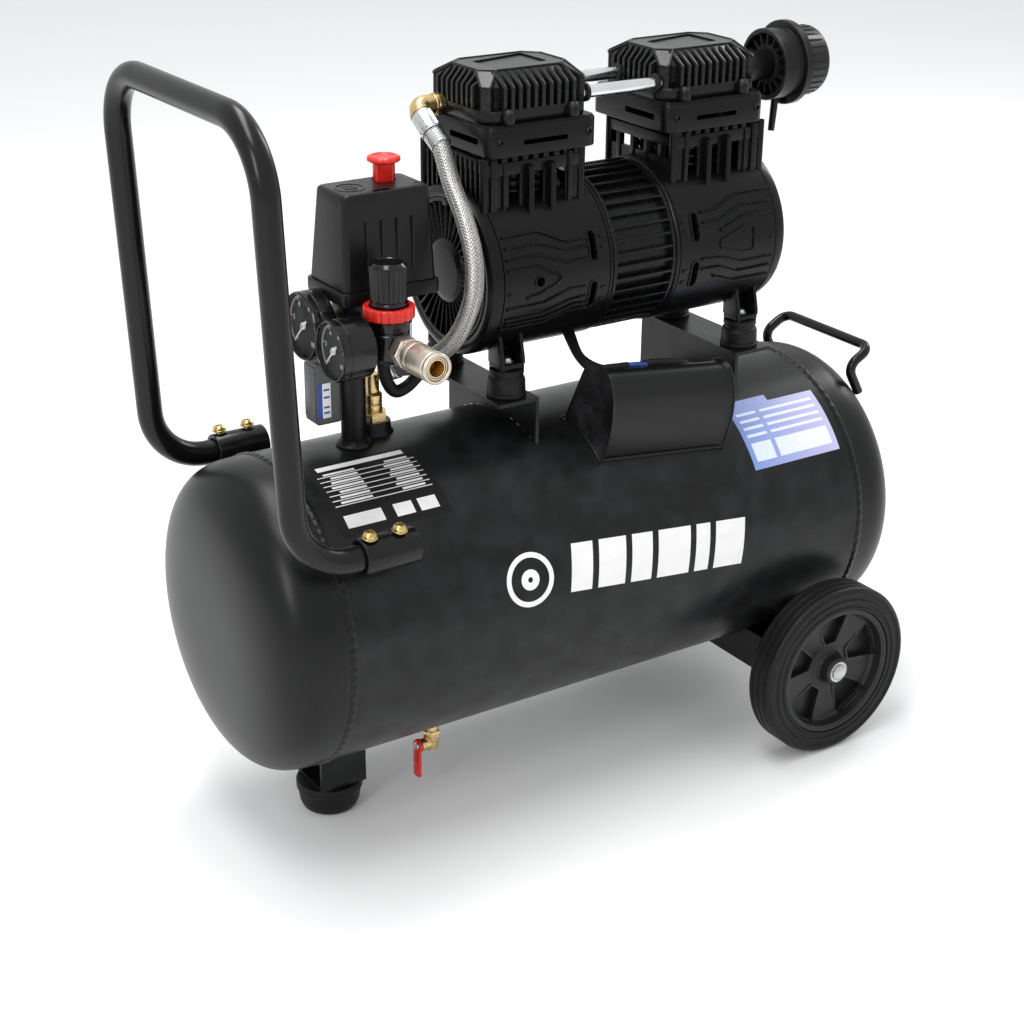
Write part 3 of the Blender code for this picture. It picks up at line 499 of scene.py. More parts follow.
    def cut(self, *cutters):
        """Takes the cutters out of everything made so far."""
        target = self.scratch("target")
        tools = [cutter.scratch("cutter") for cutter in cutters]
        for tool in tools:
            modifier = target.modifiers.new("cut", "BOOLEAN")
            modifier.operation = "DIFFERENCE"
            modifier.object = tool
            modifier.solver = "EXACT"
        graph = bpy.context.evaluated_depsgraph_get()
        mesh = bpy.data.meshes.new_from_object(target.evaluated_get(graph))
        self.bm.free()
        self.bm = bmesh.new()
        self.bm.from_mesh(mesh)
        for item in [target] + tools:
            bpy.data.objects.remove(item)
        return self

    def scratch(self, name):
        mesh = bpy.data.meshes.new(name)
        bmesh.ops.recalc_face_normals(self.bm, faces=self.bm.faces)
        self.bm.to_mesh(mesh)
        return add_object(name, mesh)

    def made(self, name, material, body, slot, replaces=(), sharp=32.0):
        """Ends the shape as a piece of the object, riding on a CAD body."""
        bmesh.ops.recalc_face_normals(self.bm, faces=self.bm.faces)
        mesh = bpy.data.meshes.new(name)
        self.bm.to_mesh(mesh)
        self.bm.free()
        mesh.shade_smooth()
        mesh.set_sharp_from_angle(angle=math.radians(sharp))
        mesh.materials.append(M[material])
        made = add_object(name, mesh)
        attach(made, body)
        if replaces:
            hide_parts(*replaces)
        return made


def shrink(points, inset):
    """A closed outline moved inwards along its corners' bisectors."""
    if inset < 1e-9:
        return points
    area = sum(a.x * b.y - b.x * a.y for a, b in zip(points, points[1:] + points[:1]))
    turn = 1 if area > 0 else -1
    moved = []
    for i, point in enumerate(points):
        before = (point - points[i - 1]).normalized()
        after = (points[(i + 1) % len(points)] - point).normalized()
        first = Vector((-before.y, before.x)) * turn
        second = Vector((-after.y, after.x)) * turn
        bisector = (first + second).normalized()
        moved.append(point + bisector * (inset / max(0.35, bisector.dot(second))))
    return moved


def pan_head(radius, height, drive="cross"):
    """A screw head on +Z with a Phillips cross or a hexagon socket."""
    head = Shape().turn([(0, -0.0005), (radius, -0.0005), (radius, height * 0.35),
                         (radius * 0.72, height * 0.86), (0, height)], Matrix(), 28, 0.0006)
    if drive == "cross":
        arm, thin = radius * 0.52, radius * 0.12
        slot = Shape().box((-arm, -thin, height * 0.45), (arm, thin, height * 2), 0)
        other = Shape().box((-thin, -arm, height * 0.45), (thin, arm, height * 2), 0)
        return head.cut(slot, other)
    return head.cut(Shape().prism(circle(radius * 0.5, 6), height * 0.3, height * 2))


def dressed(node, material, bevel=0.0):
    """A CAD node that stays, with a finish and rounded edges."""
    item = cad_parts[node]
    item.data.materials.clear()
    item.data.materials.append(M[material])
    if bevel:
        edge = item.modifiers.new("edges", "BEVEL")
        edge.width = bevel
        edge.segments = 2
        edge.limit_method = "ANGLE"
        edge.angle_limit = math.radians(40)
        edge.harden_normals = True
    return item


def put(shape, name, material, replaces=(), body="base", slot=None, **options):
    """A piece that stands for CAD nodes. The slot that goes with its finish, or another given, is passed on
    but not used.
    """
    if isinstance(replaces, str):
        replaces = (replaces,)
    return shape.made(name, material, body, slot or SLOTS[material], replaces, **options)


def across(origin, side):
    """A frame at the origin whose +Z is -Y (side -1) or +Y, as the wheels and bolts are turned."""
    return Matrix.Translation(origin) @ Matrix.Rotation(-side * math.pi / 2, 4, "X")


# Tank


def head_outline(radius, depth, steps):
    points = []
    for i in range(steps + 1):
        angle = math.pi / 2 * i / steps
        points.append((radius * math.sin(angle) ** (2 / 3.5), depth * math.cos(angle) ** (2 / 3.5)))
    points[0], points[-1] = (0, depth), (radius, 0)
    return points


def ripple(radius, height, angle):
    return radius + 0.00022 * math.sin(angle * 95 + 1.7 * math.sin(angle * 7))


def make_tank():
    inner = TANK_RADIUS - 0.003
    half = SEAM_X
    along = aim(TANK, RIGHT)
    profile = rectangle(inner, -half, TANK_RADIUS, half)
    put(Shape().turn(profile, along, 160), "tank_barrel", "coat", "tank_shell")
    for name, side in SIDES.items():
        seam = TANK + Vector((side * (SEAM_X + 0.0003), 0, 0))
        depth = TANK_END - SEAM_X - 0.0005
        outer = head_outline(TANK_RADIUS, depth, 26)
        head = outer + [(r * inner / TANK_RADIUS, h * (depth - 0.003) / depth) for r, h in outer[::-1]]
        outward = aim(seam, (side, 0, 0))
        put(Shape().turn(head, outward, 160), "tank_end_" + name, "coat", "tank_head_" + name)
        bead = [(TANK_RADIUS - 0.001, -0.0032), (TANK_RADIUS + 0.0002, -0.003),
                (TANK_RADIUS + 0.0009, -0.0016), (TANK_RADIUS + 0.0012, 0.0),
                (TANK_RADIUS + 0.0009, 0.0016), (TANK_RADIUS + 0.0002, 0.003),
                (TANK_RADIUS - 0.001, 0.0032)]
        put(Shape().turn(bead, outward, 720, wave=ripple), "weld_bead_" + name, "coat")


def tank_patch(shape, corners, low=-0.0002, high=0.00015, step=2.0):
    """A film on the tank between two edges: corners are (x, angle) for start-low, start-high,
    end-high and end-low."""
    (x0, a0), (x1, a1), (x2, a2), (x3, a3) = corners
    count = max(2, math.ceil(max(abs(a1 - a0), abs(a2 - a3)) / step))
    rings = []
    for i in range(count + 1):
        t = i / count
        start, end = (x0 + (x1 - x0) * t, a0 + (a1 - a0) * t), (x3 + (x2 - x3) * t, a3 + (a2 - a3) * t)
        rings.append([on_tank(*start, low), on_tank(*end, low), on_tank(*end, high), on_tank(*start, high)])
    return shape.loft(rings)


def tank_ring(shape, x, degrees, radius, width, rise=0.00015):
    """A flat printed ring on the tank."""
    path, ups = [], []
    for i in range(96):
        turn = math.tau * i / 96
        angle = degrees + math.degrees(radius * math.sin(turn) / TANK_RADIUS)
        path.append(on_tank(x + radius * math.cos(turn), angle))
        ups.append(on_tank(0, angle, 1.0) - on_tank(0, angle))
    half = width / 2
    section = rectangle(-half, -0.0002, half, rise)
    return shape.sweep(path, section, ups, closed=True)


def make_tank_print():
    """A generic white mark: a ring with a dot, and slanted bars."""
    mark = Shape()
    for radius, width in ((0.0195, 0.0042), (0.0052, 0.006)):
        tank_ring(mark, -0.0905, 15.8, radius, width)
    for start, width in ((-0.0545, 0.02), (-0.0285, 0.026), (0.0035, 0.02), (0.0295, 0.032),
                         (0.0675, 0.014), (0.0875, 0.03)):
        lean = 0.006
        top, low = 24.6 - (start + 0.0545) * 44, 7.2 - (start + 0.0545) * 47
        tank_patch(mark, [(start, low), (start + lean, top), (start + lean + width, top - width * 44),
                          (start + width, low - width * 47)])
    put(mark, "tank_mark", "white", sharp=40)
    dark = tank_patch(Shape(), [(-0.234, 46.5), (-0.234, 79.5), (-0.14, 79.5), (-0.14, 46.5)])
    put(dark, "tank_plate_film", "dial")
    rules = Shape()
    for i in range(7):
        low = 58.5 + 2.35 * i
        tank_patch(rules, [(-0.229, low), (-0.229, low + 0.35), (-0.145, low + 0.35), (-0.145, low)],
                   0.0001, 0.0002)
        for start, end in ((-0.223 + 0.002 * (i % 3), -0.196), (-0.17 - 0.003 * (i % 2), -0.15)):
            tank_patch(rules, [(start, low + 0.85), (start, low + 1.75), (end, low + 1.75),
                               (end, low + 0.85)], 0.0001, 0.0002)
    tank_patch(rules, [(-0.225, 76.0), (-0.225, 78.4), (-0.15, 78.4), (-0.15, 76.0)], 0.0001, 0.0002)
    for start, end in ((-0.227, -0.195), (-0.185, -0.169), (-0.164, -0.148)):
        tank_patch(rules, [(start, 49.5), (start, 54.5), (end, 54.5), (end, 49.5)], 0.0001, 0.0002)
    put(rules, "tank_plate_rules", "white")
    film = tank_patch(Shape(), [(0.145, 33), (0.145, 60), (0.238, 60), (0.238, 33)])
    tank_patch(film, [(0.1516, 59.8), (0.1516, 63), (0.19, 63), (0.19, 59.8)])
    put(film, "tank_notice_film", "notice")
    panels = Shape()
    for start, end in ((0.15, 0.171), (0.1755, 0.2325)):
        for low, high in ((36.0, 43.5), (46.0, 47.2), (49.2, 50.4), (52.4, 53.6), (55.6, 56.8)):
            tank_patch(panels, [(start, low), (start, high), (end, high), (end, low)], 0.0001, 0.0002)
    put(panels, "tank_notice_panels", "notice_bars")


# Push handle, sleeves, bail, foot and brackets


def make_handle():
    lean, leg_x, handle_y, sleeve_z, top_z = 0.042, -0.2967, 0.1218, 0.2813, 0.6009
    near = [(-0.2, -handle_y, sleeve_z), (leg_x + lean * (0.4 - sleeve_z), -handle_y, sleeve_z),
            (leg_x - lean * (top_z - 0.4), -handle_y, top_z)]
    far = [(x, -y, z) for x, y, z in reversed(near)]
    handle = Shape().tube(arcs(near + far, 0.05, 16), 0.0101, 40)
    put(handle, "push_bar", "gloss_coat", "push_handle")
    sleeve_x, outer, inner = -0.218, 0.0138, 0.0106
    for name, side in ENDS.items():
        centre = Vector((sleeve_x, side * handle_y, sleeve_z))
        out = Vector((0, side * handle_y, sleeve_z - TANK.z))
        reach = out.length
        sleeve = Shape().turn(rectangle(inner, -0.0225, outer, 0.0225), aim(centre, RIGHT), 64, 0.0008)
        radial = out.normalized()
        foot = TANK_RADIUS + 0.0003
        flank = Vector((0, -radial.z, radial.y)) * 0.0025
        rings = []
        for along, half in ((foot, 0.0195), (foot + 0.003, 0.018), (reach - 0.0125, 0.018)):
            middle_of = Vector((sleeve_x, 0, TANK.z)) + radial * along
            rings.append([middle_of + Vector((-half, 0, 0)) - flank, middle_of + Vector((half, 0, 0)) - flank,
                          middle_of + Vector((half, 0, 0)) + flank,
                          middle_of + Vector((-half, 0, 0)) + flank])
        sleeve.loft(rings)
        put(sleeve, "sleeve_" + name, "gloss_coat", "handle_sleeve_" + name)
        weld = Shape()
        for sign in (-1, 1):
            line = [Vector((sleeve_x - 0.019 + 0.038 * i / 18, 0, TANK.z)) + radial * (foot + 0.0004)
                    + flank * sign * 1.15 for i in range(19)]
            weld.tube(line, 0.0013, 10, swell=lambda u, d: 1 + 0.18 * math.sin(d * 2600))
        put(weld, "sleeve_weld_" + name, "coat")
        screws = Shape()
        for x in (-0.2335, -0.2085):
            away = Vector((0, side * 0.16, 0.987))
            seat = Vector((x, side * handle_y, sleeve_z)) + away * (outer - 0.0006)
            place = aim(seat, away, 0.5 + 40 * x)
            screws.turn(rod(0.0033, -0.001, 0.0034), place, 24)
            screws.turn(rod(0.006, 0.0022, 0.0032), place, 32, 0.0003)
            screws.absorb(pan_head(0.0052, 0.0042), place @ shift(0, 0, 0.0034))
        put(screws, "sleeve_screws_" + name, "gold_zinc")


def make_bail():
    y = 0.0565
    near = [(0.3005, -y, 0.2835), (0.2862, -y, 0.309), (0.3107, -y, 0.3228)]
    far = [(x, -w, z) for x, w, z in reversed(near)]
    put(Shape().tube(arcs(near + far, 0.01, 10), 0.0043, 28), "bail", "gloss_coat", "rear_bail")


def make_foot():
    foot_x, top = -0.208, 0.0262
    profile = [(0, top), (0.0275, top), (0.0275, 0.019), (0.0262, 0.0175), (0.0248, 0.0075),
               (0.0226, 0.0022), (0.0195, 0.0002), (0.0125, 0.0), (0.0105, 0.004), (0, 0.004)]
    put(Shape().turn(profile, shift(foot_x, 0, 0), 72, 0.0014), "foot_rubber", "rubber", "rubber_foot")
    bolt = Shape().turn([(0, 0.03), (0.0075, 0.03), (0.0075, 0.0345), (0.004, 0.0345), (0.004, 0.0395),
                         (0, 0.0395)], shift(foot_x, 0, 0), 6, 0.0)
    put(bolt, "foot_bolt", "steel")
    dressed("foot_bracket", "coat", 0.0007)
    dressed("axle_bracket", "coat", 0.0008)


def weld_line(shape, points, radius=0.0014):
    return shape.tube(points, radius, 10, swell=lambda u, d: 1 + 0.2 * math.sin(d * 2400))


def make_bracket_welds():
    welds = Shape()
    for x in (0.172, 0.237):
        path = [on_tank(x, degrees) for degrees in range(-134, -45, 2)]
        weld_line(welds, [p for p in path if abs(p.y) < 0.08])
    for x in (-0.2265, -0.1855):
        weld_line(welds, [on_tank(x, degrees) for degrees in range(-98, -81, 2)])
    put(welds, "bracket_welds", "coat")


# Wheels


def make_wheels():
    low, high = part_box("wheel_tyre_near")
    radius, half = (high.z - low.z) / 2, (high.y - low.y) / 2
    for end, side in ENDS.items():
        centre = middle("wheel_tyre_" + end)
        place = across(centre, side)
        tread = []
        for groove in (-0.0075, 0.0, 0.0075):
            tread += [(radius, groove - 0.001), (radius - 0.0013, groove - 0.0006),
                      (radius - 0.0013, groove + 0.0006), (radius, groove + 0.001)]
        wall = [(radius, half - 0.0042), (radius - 0.001, half - 0.0022), (radius - 0.0034, half - 0.0004),
                (radius - 0.0052, half), (radius - 0.0064, half - 0.0014), (0.0668, half - 0.0014),
                (0.0662, half - 0.0002), (0.064, half - 0.0002), (0.0634, half - 0.0014),
                (0.0604, half - 0.0014), (0.0596, half - 0.0002), (0.0581, half - 0.0002)]
        profile = [(r, -h) for r, h in wall[::-1]] + tread + wall
        put(Shape().turn(profile, place, 180, 0.00035, 2), "tyre_" + end, "rubber", "wheel_tyre_" + end,
            "wheel_" + end)
        make_rim(end, side, place, half)


def make_rim(end, side, place, half):
    lip, wall_inner, hub, bore = 0.058, 0.0525, 0.0125, 0.0055
    face = half - 0.001
    profile = [(lip, -face), (lip, face - 0.0006), (lip - 0.0012, face), (0.0546, face),
               (0.054, face - 0.0009),
               (0.0531, face - 0.0009), (wall_inner, face - 0.0018), (wall_inner - 0.0012, 0.005),
               (0.049, 0.0026), (0.02, 0.0014), (0.015, 0.003), (hub, 0.006),
               (hub - 0.0006, half - 0.0008), (hub - 0.0018, half + 0.0004), (bore, half + 0.0004),
               (bore, -face), (hub, -face), (hub, -0.0055), (wall_inner - 0.001, -0.0055),
               (wall_inner, -face)]
    rim = Shape().turn(profile, Matrix(), 144, 0.0006, 2)
    outline = [(0.0212, -0.0062), (0.0492, -0.0186), (0.0508, 0.0), (0.0492, 0.0186), (0.0212, 0.0062)]
    windows = [Shape().prism(outline, -0.0043, 0.03, Matrix.Rotation(math.tau * i / 5 + 0.3, 4, "Z"),
                             soften=0.0032) for i in range(5)]
    rim.cut(*windows)
    for i in range(5):
        turn = Matrix.Rotation(math.tau * i / 5 + 0.3, 4, "Z")
        rail = arcs([Vector((x, y, 0.0018)) for x, y in outline], 0.0032, 4, closed=True)
        rim.absorb(Shape().sweep(rail, rectangle(-0.0007, -0.0012, 0.0007, 0.0008), [UP] * len(rail),
                                 closed=True), turn)
    whole = Shape().absorb(rim, place)
    put(whole, "rim_" + end, "wheel", "wheel_rim_" + end, "wheel_" + end)
    bolt = Shape().turn([(0, 0.1652), (0.0026, 0.165), (0.0055, 0.1643), (0.0072, 0.1628), (0.0075, 0.1612),
                         (0.0092, 0.1611), (0.0092, 0.1604), (0.0052, 0.1603), (0.0052, 0.1147),
                         (0.0085, 0.1147), (0.0085, 0.108), (0, 0.108)],
                        across((place.translation.x, 0, place.translation.z), side), 48)
    put(bolt, "bolt_" + end, "steel", "axle_bolt_" + end)


# Motor supports


def make_supports():
    for name, side in SIDES.items():
        saddle = "motor_saddle_" + name
        dressed(saddle, "coat", 0.0008)
        low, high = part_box(saddle)
        flange_x = high.x if side < 0 else low.x
        welds = Shape()
        for y in (low.y + 0.012, low.y + 0.03, high.y - 0.012, high.y - 0.03):
            angle = math.degrees(math.asin(max(-1, min(1, -y / TANK_RADIUS))))
            line = [on_tank(flange_x + side * 0.0006, 90 - angle + d) for d in (-3.2, -1.6, 0, 1.6, 3.2)]
            weld_line(welds, line, 0.0019)
        put(welds, "saddle_welds_" + name, "zinc")
        for end in ENDS:
            make_mount(name, end)


def make_mount(name, end):
    low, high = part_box(f"rubber_mount_{name}_{end}")
    x, y, height = (low.x + high.x) / 2, (low.y + high.y) / 2, high.z - low.z
    foot = shift(x, y, low.z)
    profile = [(0, 0), (0.0158, 0), (0.0158, 0.0022), (0.0148, 0.003), (0.0152, 0.004), (0.0149, 0.0128),
               (0.0142, 0.015), (0.0131, 0.0158), (0.0131, 0.0176), (0.0138, 0.0184), (0.0138, height),
               (0, height)]
    boot = Shape().turn(profile, foot, 64, 0.0005)
    for i in range(2):
        turn = Matrix.Rotation(math.pi * i + 0.5, 4, "Z")
        for z in (0.006, 0.008):
            boot.box((0.014, -0.003, z), (0.01535, 0.003, z + 0.0004), 0.0001, foot @ turn)
    put(boot, f"mount_{name}_{end}", "rubber", f"rubber_mount_{name}_{end}")
    screw = Shape().absorb(pan_head(0.0052, 0.0034), aim((x, y, low.z - 0.0038), DOWN))
    screw.turn(rod(0.007, -0.0002, 0.0008), aim((x, y, low.z - 0.0033), DOWN), 32)
    screw.absorb(pan_head(0.0046, 0.0032), shift(x, y, high.z + 0.0056))
    screw.turn(rod(0.0062, 0, 0.001), shift(x, y, high.z + 0.0049), 32)
    put(screw, f"mount_screws_{name}_{end}", "zinc")


# Motor


def make_stator():
    half = extent("stator").x / 2
    shell, tip, inner = 0.0612, 0.0668, 0.0405
    along = aim(MOTOR, RIGHT)
    body = Shape().turn(rectangle(inner, -half, shell, half), along, 120)
    for edge in (-1, 1):
        body.turn([(shell - 0.002, edge * half), (tip - 0.001, edge * half), (tip, edge * (half - 0.0008)),
                   (tip, edge * (half - 0.0034)), (shell - 0.002, edge * (half - 0.004))], along, 120)
    for i in range(40):
        turn = Matrix.Translation(MOTOR) @ Matrix.Rotation(math.tau * i / 40, 4, "X")
        body.box((-half + 0.002, -0.001, shell - 0.002), (half - 0.002, 0.001, tip - 0.0002), 0.0003, turn)
    put(body, "stator_housing", "cast", "stator")
    for node in ("rotor", "cooling_fan_left", "cooling_fan_right"):
        dressed(node, "steel" if node == "rotor" else "plastic", 0.0003)
    for name in SIDES:
        dressed("piston_" + name, "aluminium", 0.0006)


PATTERN_A = [
    [(.13, 33.5), (.098, 34.2), (.0739, 24.3), (.0559, 24.6)],
    [(.1302, 26), (.1005, 26.3), (.0737, 18.7), (.056, 19)],
    [(.131, 18.3), (.1015, 18.8), (.075, 10.8), (.0569, 11.3)],
    [(.1308, 11.5), (.1015, 11.5), (.0772, .8), (.0985, -6.7), (.113, -9)],
    [(.1305, -15), (.097, -14.4), (.073, -7.8), (.058, -8.1)],
    [(.13, -23), (.0975, -23), (.0715, -16), (.0569, -15)],
    [(.1299, -26.6), (.0917, -26.7), (.0671, -19.6), (.0555, -20.5)],
    [(.1335, -30), (.0935, -30.5), (.0724, -24), (.0543, -24.4)], ]
PATTERN_B = [
    [(.0581, 28), (.0726, 28.8), (.0978, 37.1), (.1333, 37.6)],
    [(.0587, 20.8), (.076, 21.1), (.1001, 28.8), (.1316, 28.4)],
    [(.0756, 13.6), (.1011, 20.9), (.1316, 20.9)],
    [(.0566, -4.5), (.0758, -5.3), (.0988, -11.5), (.1308, -11.5)],
    [(.0569, -11.8), (.0761, -12.3), (.0952, -18.8), (.1307, -18.5)],
    [(.0711, -19), (.0949, -26.4), (.1322, -26.9)], ]
POCKET_B = [(.0756, 6.5), (.1008, 13.8), (.1104, 12.7), (.1101, -4.4), (.0985, -4.1), (.0757, .9)]


def drum_line(points, side, face, closed=False, radius=0.0035):
    """Points and normals over the drum along (distance, angle) corners, with rounded corners."""
    scale = math.degrees(1 / DRUM_RADIUS)
    flat = arcs([(d, a / scale) for d, a in points], radius, 3, closed)
    if closed:
        flat.append(flat[0])
    dense = []
    for a, b in zip(flat, flat[1:]):
        count = max(1, math.ceil((b - a).length / 0.0025))
        dense += [a.lerp(b, i / count) for i in range(count)]
    if not closed:
        dense.append(flat[-1])
    path = [on_drum(p.x, p.y * scale, side, face) for p in dense]
    ups = [on_drum(p.x, p.y * scale, side, face, 1.0) - on_drum(p.x, p.y * scale, side, face) for p in dense]
    return path, ups


def drum_frame(offset, degrees, side, face, lift=0.0):
    """A frame on the drum: +Z outward, +X along the motor's axis away from the stator."""
    spot = on_drum(offset, degrees, side, face, lift)
    out = (on_drum(offset, degrees, side, face, 1.0) - on_drum(offset, degrees, side, face)).normalized()
    along = Vector((side, 0, 0))
    turn = Matrix((along, out.cross(along), out)).transposed().to_4x4()
    return Matrix.Translation(spot) @ turn


def drum_slot(side, face, high, low, half_width=0.00275):
    """A capsule-shaped cutter through the drum's wall, running round it."""
    middle_angle = (high + low) / 2
    length = math.radians(abs(high - low)) * DRUM_RADIUS / 2
    return Shape().prism(rectangle(-half_width, -length, half_width, length), -0.012, 0.01,
                         drum_frame(DRUM_SLOT_OFFSET, middle_angle, side, face),
                         soften=half_width * 0.98, steps=8)


def make_crankcase(name, side):
    outward = aim(MOTOR, (side, 0, 0))
    start, wall = 0.0315, 0.004
    radius = DRUM_RADIUS
    profile = [(0.0075, start), (radius - 0.0008, start), (radius, start + 0.0008), (radius, 0.0343),
               (radius - 0.0009, 0.0348), (radius, 0.0353), (radius, 0.1334), (radius - 0.0009, 0.1339),
               (radius, 0.1345), (radius, 0.14), (radius - 0.0014, 0.1436), (radius - 0.005, 0.1454),
               (0.06, 0.1455), (0.0578, 0.1448), (0.0578, 0.1375), (radius - wall, 0.1375),
               (radius - wall, 0.0365), (0.0075, 0.0365)]
    drum = Shape().turn(profile, outward, 128)
    cylinder = MOTOR + Vector((side * CYLINDER_OFFSET, 0, 0))
    bore = Shape().turn(rod(BORE_RADIUS, 0.03, 0.11), Matrix.Translation(cylinder), 48)
    slots = [drum_slot(side, face, high, low) for face in (-1, 1) for high, low in DRUM_SLOT_ANGLES]
    plug = Shape().turn(rod(PLUG_RADIUS, -0.009, 0.004), drum_frame(PLUG_OFFSET, PLUG_ANGLE, side, side), 32)
    drum.cut(bore, plug, *slots)
    for face in (-1, 1):
        add_embossing(drum, side, face)
    add_sleeve(drum, cylinder)
    add_jacket(drum, side)
    add_feet(drum, side)
    put(drum, "pump_casting_" + name, "cast", "crankcase_" + name, sharp=38)


def add_embossing(drum, side, face):
    first = (side < 0) == (face < 0)
    for points in PATTERN_A if first else PATTERN_B:
        path, ups = drum_line(points, side, face)
        drum.bead(path, 0.0027, 0.0022, ups)
    if first:
        place = drum_frame(PLUG_OFFSET, PLUG_ANGLE, side, face)
        drum.turn([(PLUG_RADIUS, -0.001), (0.0052, -0.001), (0.005, 0.0008), (0.0039, 0.001)], place, 40)
    else:
        path, ups = drum_line(POCKET_B, side, face, closed=True, radius=0.0022)
        section = [(-0.0011, -0.0004), (0.0011, -0.0004), (0.0006, 0.0015), (-0.0006, 0.0015)]
        drum.sweep(path, section, ups, closed=True)
    for high, low in DRUM_SLOT_ANGLES:
        corners = rectangle(DRUM_SLOT_OFFSET - 0.0037, high, DRUM_SLOT_OFFSET + 0.0037, low)
        path, ups = drum_line(corners, side, face, closed=True, radius=0.0035)
        section = [(-0.0009, -0.0004), (0.0009, -0.0004), (0.0005, 0.0011), (-0.0005, 0.0011)]
        drum.sweep(path, section, ups, closed=True)
    offset, degrees = (0.129, -4) if first else (0.1285, 3)
    drum.absorb(pan_head(0.0021, 0.0012), drum_frame(offset, degrees, side, face))
    for degrees in (24, 17, -11, -20):
        place = drum_frame(0.0405, degrees, side, face)
        drum.box((-0.0024, -0.0013, -0.0005), (0.0024, 0.0013, 0.0009), 0.0003, place)


def add_sleeve(drum, cylinder):
    """The finned cylinder inside the jacket."""
    profile = [(BORE_RADIUS, 0.052), (0.029, 0.052)]
    for i in range(6):
        height = 0.056 + 0.0066 * i
        profile += [(0.029, height), (0.035, height + 0.0006), (0.035, height + 0.0022),
                    (0.029, height + 0.0028)]
    profile += [(0.029, 0.094), (BORE_RADIUS, 0.094)]
    drum.turn(profile, Matrix.Translation(cylinder), 72)


def drum_top(y, lift=-0.002):
    reach = DRUM_RADIUS + lift
    return MOTOR.z + math.sqrt(max(0.0, reach ** 2 - (y - MOTOR.y) ** 2))


def add_jacket(drum, side):
    """The cooling jacket round the cylinder: walls with windows between a foot on the drum and a lintel."""
    centre = MOTOR.x + side * (CYLINDER_OFFSET + 0.0065)
    near, far, top = -0.029, 0.064, 0.5317

    def block(u0, y0, z0, u1, y1, z1, bevel=0.0006):
        x0, x1 = sorted((centre + side * u0, centre + side * u1))
        drum.box((x0, min(y0, y1), z0), (x1, max(y0, y1), z1), bevel)

    for y, inside in ((near, 1), (far, -1)):
        foot = drum_top(y) - 0.0015
        deep = y + inside * 0.0045
        for u0, u1 in ((-0.047, -0.0298), (-0.0202, -0.0091), (0.0005, 0.0126), (0.0222, 0.047)):
            block(u0, y + inside * 0.0022, foot, u1, deep, 0.52)
        block(-0.0465, y + inside * 0.0012, 0.5175, 0.0465, deep + inside * 0.002, 0.5272)
        for u in [-0.04 + 0.0095 * i for i in range(9)]:
            block(u - 0.0026, y + inside * 0.002, 0.5265, u + 0.0026, deep + inside * 0.004, top)
        for u, half, depth in ((0.037, 0.003, 0.0), (-0.033, 0.002, 0.0)):
            block(u - half, y + inside * depth, foot, u + half, deep, 0.53, 0.0008)
        block(0.0275 - 0.001, y + inside * 0.0002, foot - 0.007, 0.0275 + 0.001, deep, 0.5262, 0.0003)
        for u in (-0.014, 0.0062):
            toe, base = y - inside * 0.009, drum_top(y - inside * 0.009)
            outline = [(y - inside * 0.005, 0.523), (y + inside * 0.004, 0.5255),
                       (y + inside * 0.004, foot), (toe, base - 0.001), (y - inside * 0.0052, base + 0.006)]
            place = facing_right(centre + side * u)
            drum.prism(outline, -0.0024, 0.0024, place, 0.0005, 0.0008, 2)
        for u in (-0.0445, 0.0445):
            post = shift(centre + side * u, y + inside * 0.0032, 0)
            drum.turn(rod(0.0034, foot - 0.004, top), post, 28, 0.0004)
    yz = facing_right(centre)
    sill = [(near + 0.003 + (far - near - 0.006) * i / 24, 0) for i in range(25)]
    arc = [(y, drum_top(y)) for y, _ in sill]
    for u, height in ((0.0428, 0.5235), (-0.0435, 0.5085)):
        outline = arc + [(far - 0.003, height), (near + 0.003, height)]
        low, high = sorted((side * (u - 0.0018), side * (u + 0.0018)))
        drum.prism(outline, low, high, yz)
    block(-0.0465, near + 0.002, 0.5185, -0.0415, far - 0.002, 0.5272)
    block(0.0405, near + 0.002, 0.52, 0.0455, far - 0.002, 0.53)
    for y in (-0.0105, 0.0085, 0.0275, 0.0465):
        block(-0.0465, y - 0.0026, drum_top(y), -0.042, y + 0.0026, 0.52)
    for i in range(13):
        y = -0.0245 + 0.007 * i
        block(0.043, y - 0.0013, drum_top(y) - 0.0002, 0.047, y + 0.0013, 0.5285, 0.0009)


def add_feet(drum, side):
    x = MOTOR.x + side * 0.118
    for end, face in ENDS.items():
        y = MOTOR.y + face * 0.0465
        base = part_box(f"rubber_mount_{'left' if side < 0 else 'right'}_{end}")[1].z + 0.0003
        high = MOTOR.z - 0.033
        drum.prism(rectangle(-0.011, -0.01, 0.011, 0.01), base, base + 0.005,
                   shift(x, y, 0), 0.0006, 0.0022)
        outline = [(y - face * 0.01, base + 0.004), (y + face * 0.01, base + 0.004),
                   (y + face * 0.0098, base + 0.0085), (y + face * 0.0035, high - 0.004),
                   (y + face * 0.0035, high + 0.004), (y - face * 0.01, high - 0.004)]
        for u in (-0.0095, 0.0095):
            place = facing_right(x + u)
            drum.prism(outline, -0.0015, 0.0015, place, 0.0003)
        drum.box((x - 0.0105, min(y - face * 0.01, y - face * 0.007), base + 0.004),
                 (x + 0.0105, max(y - face * 0.01, y - face * 0.007), high - 0.006), 0.0005)


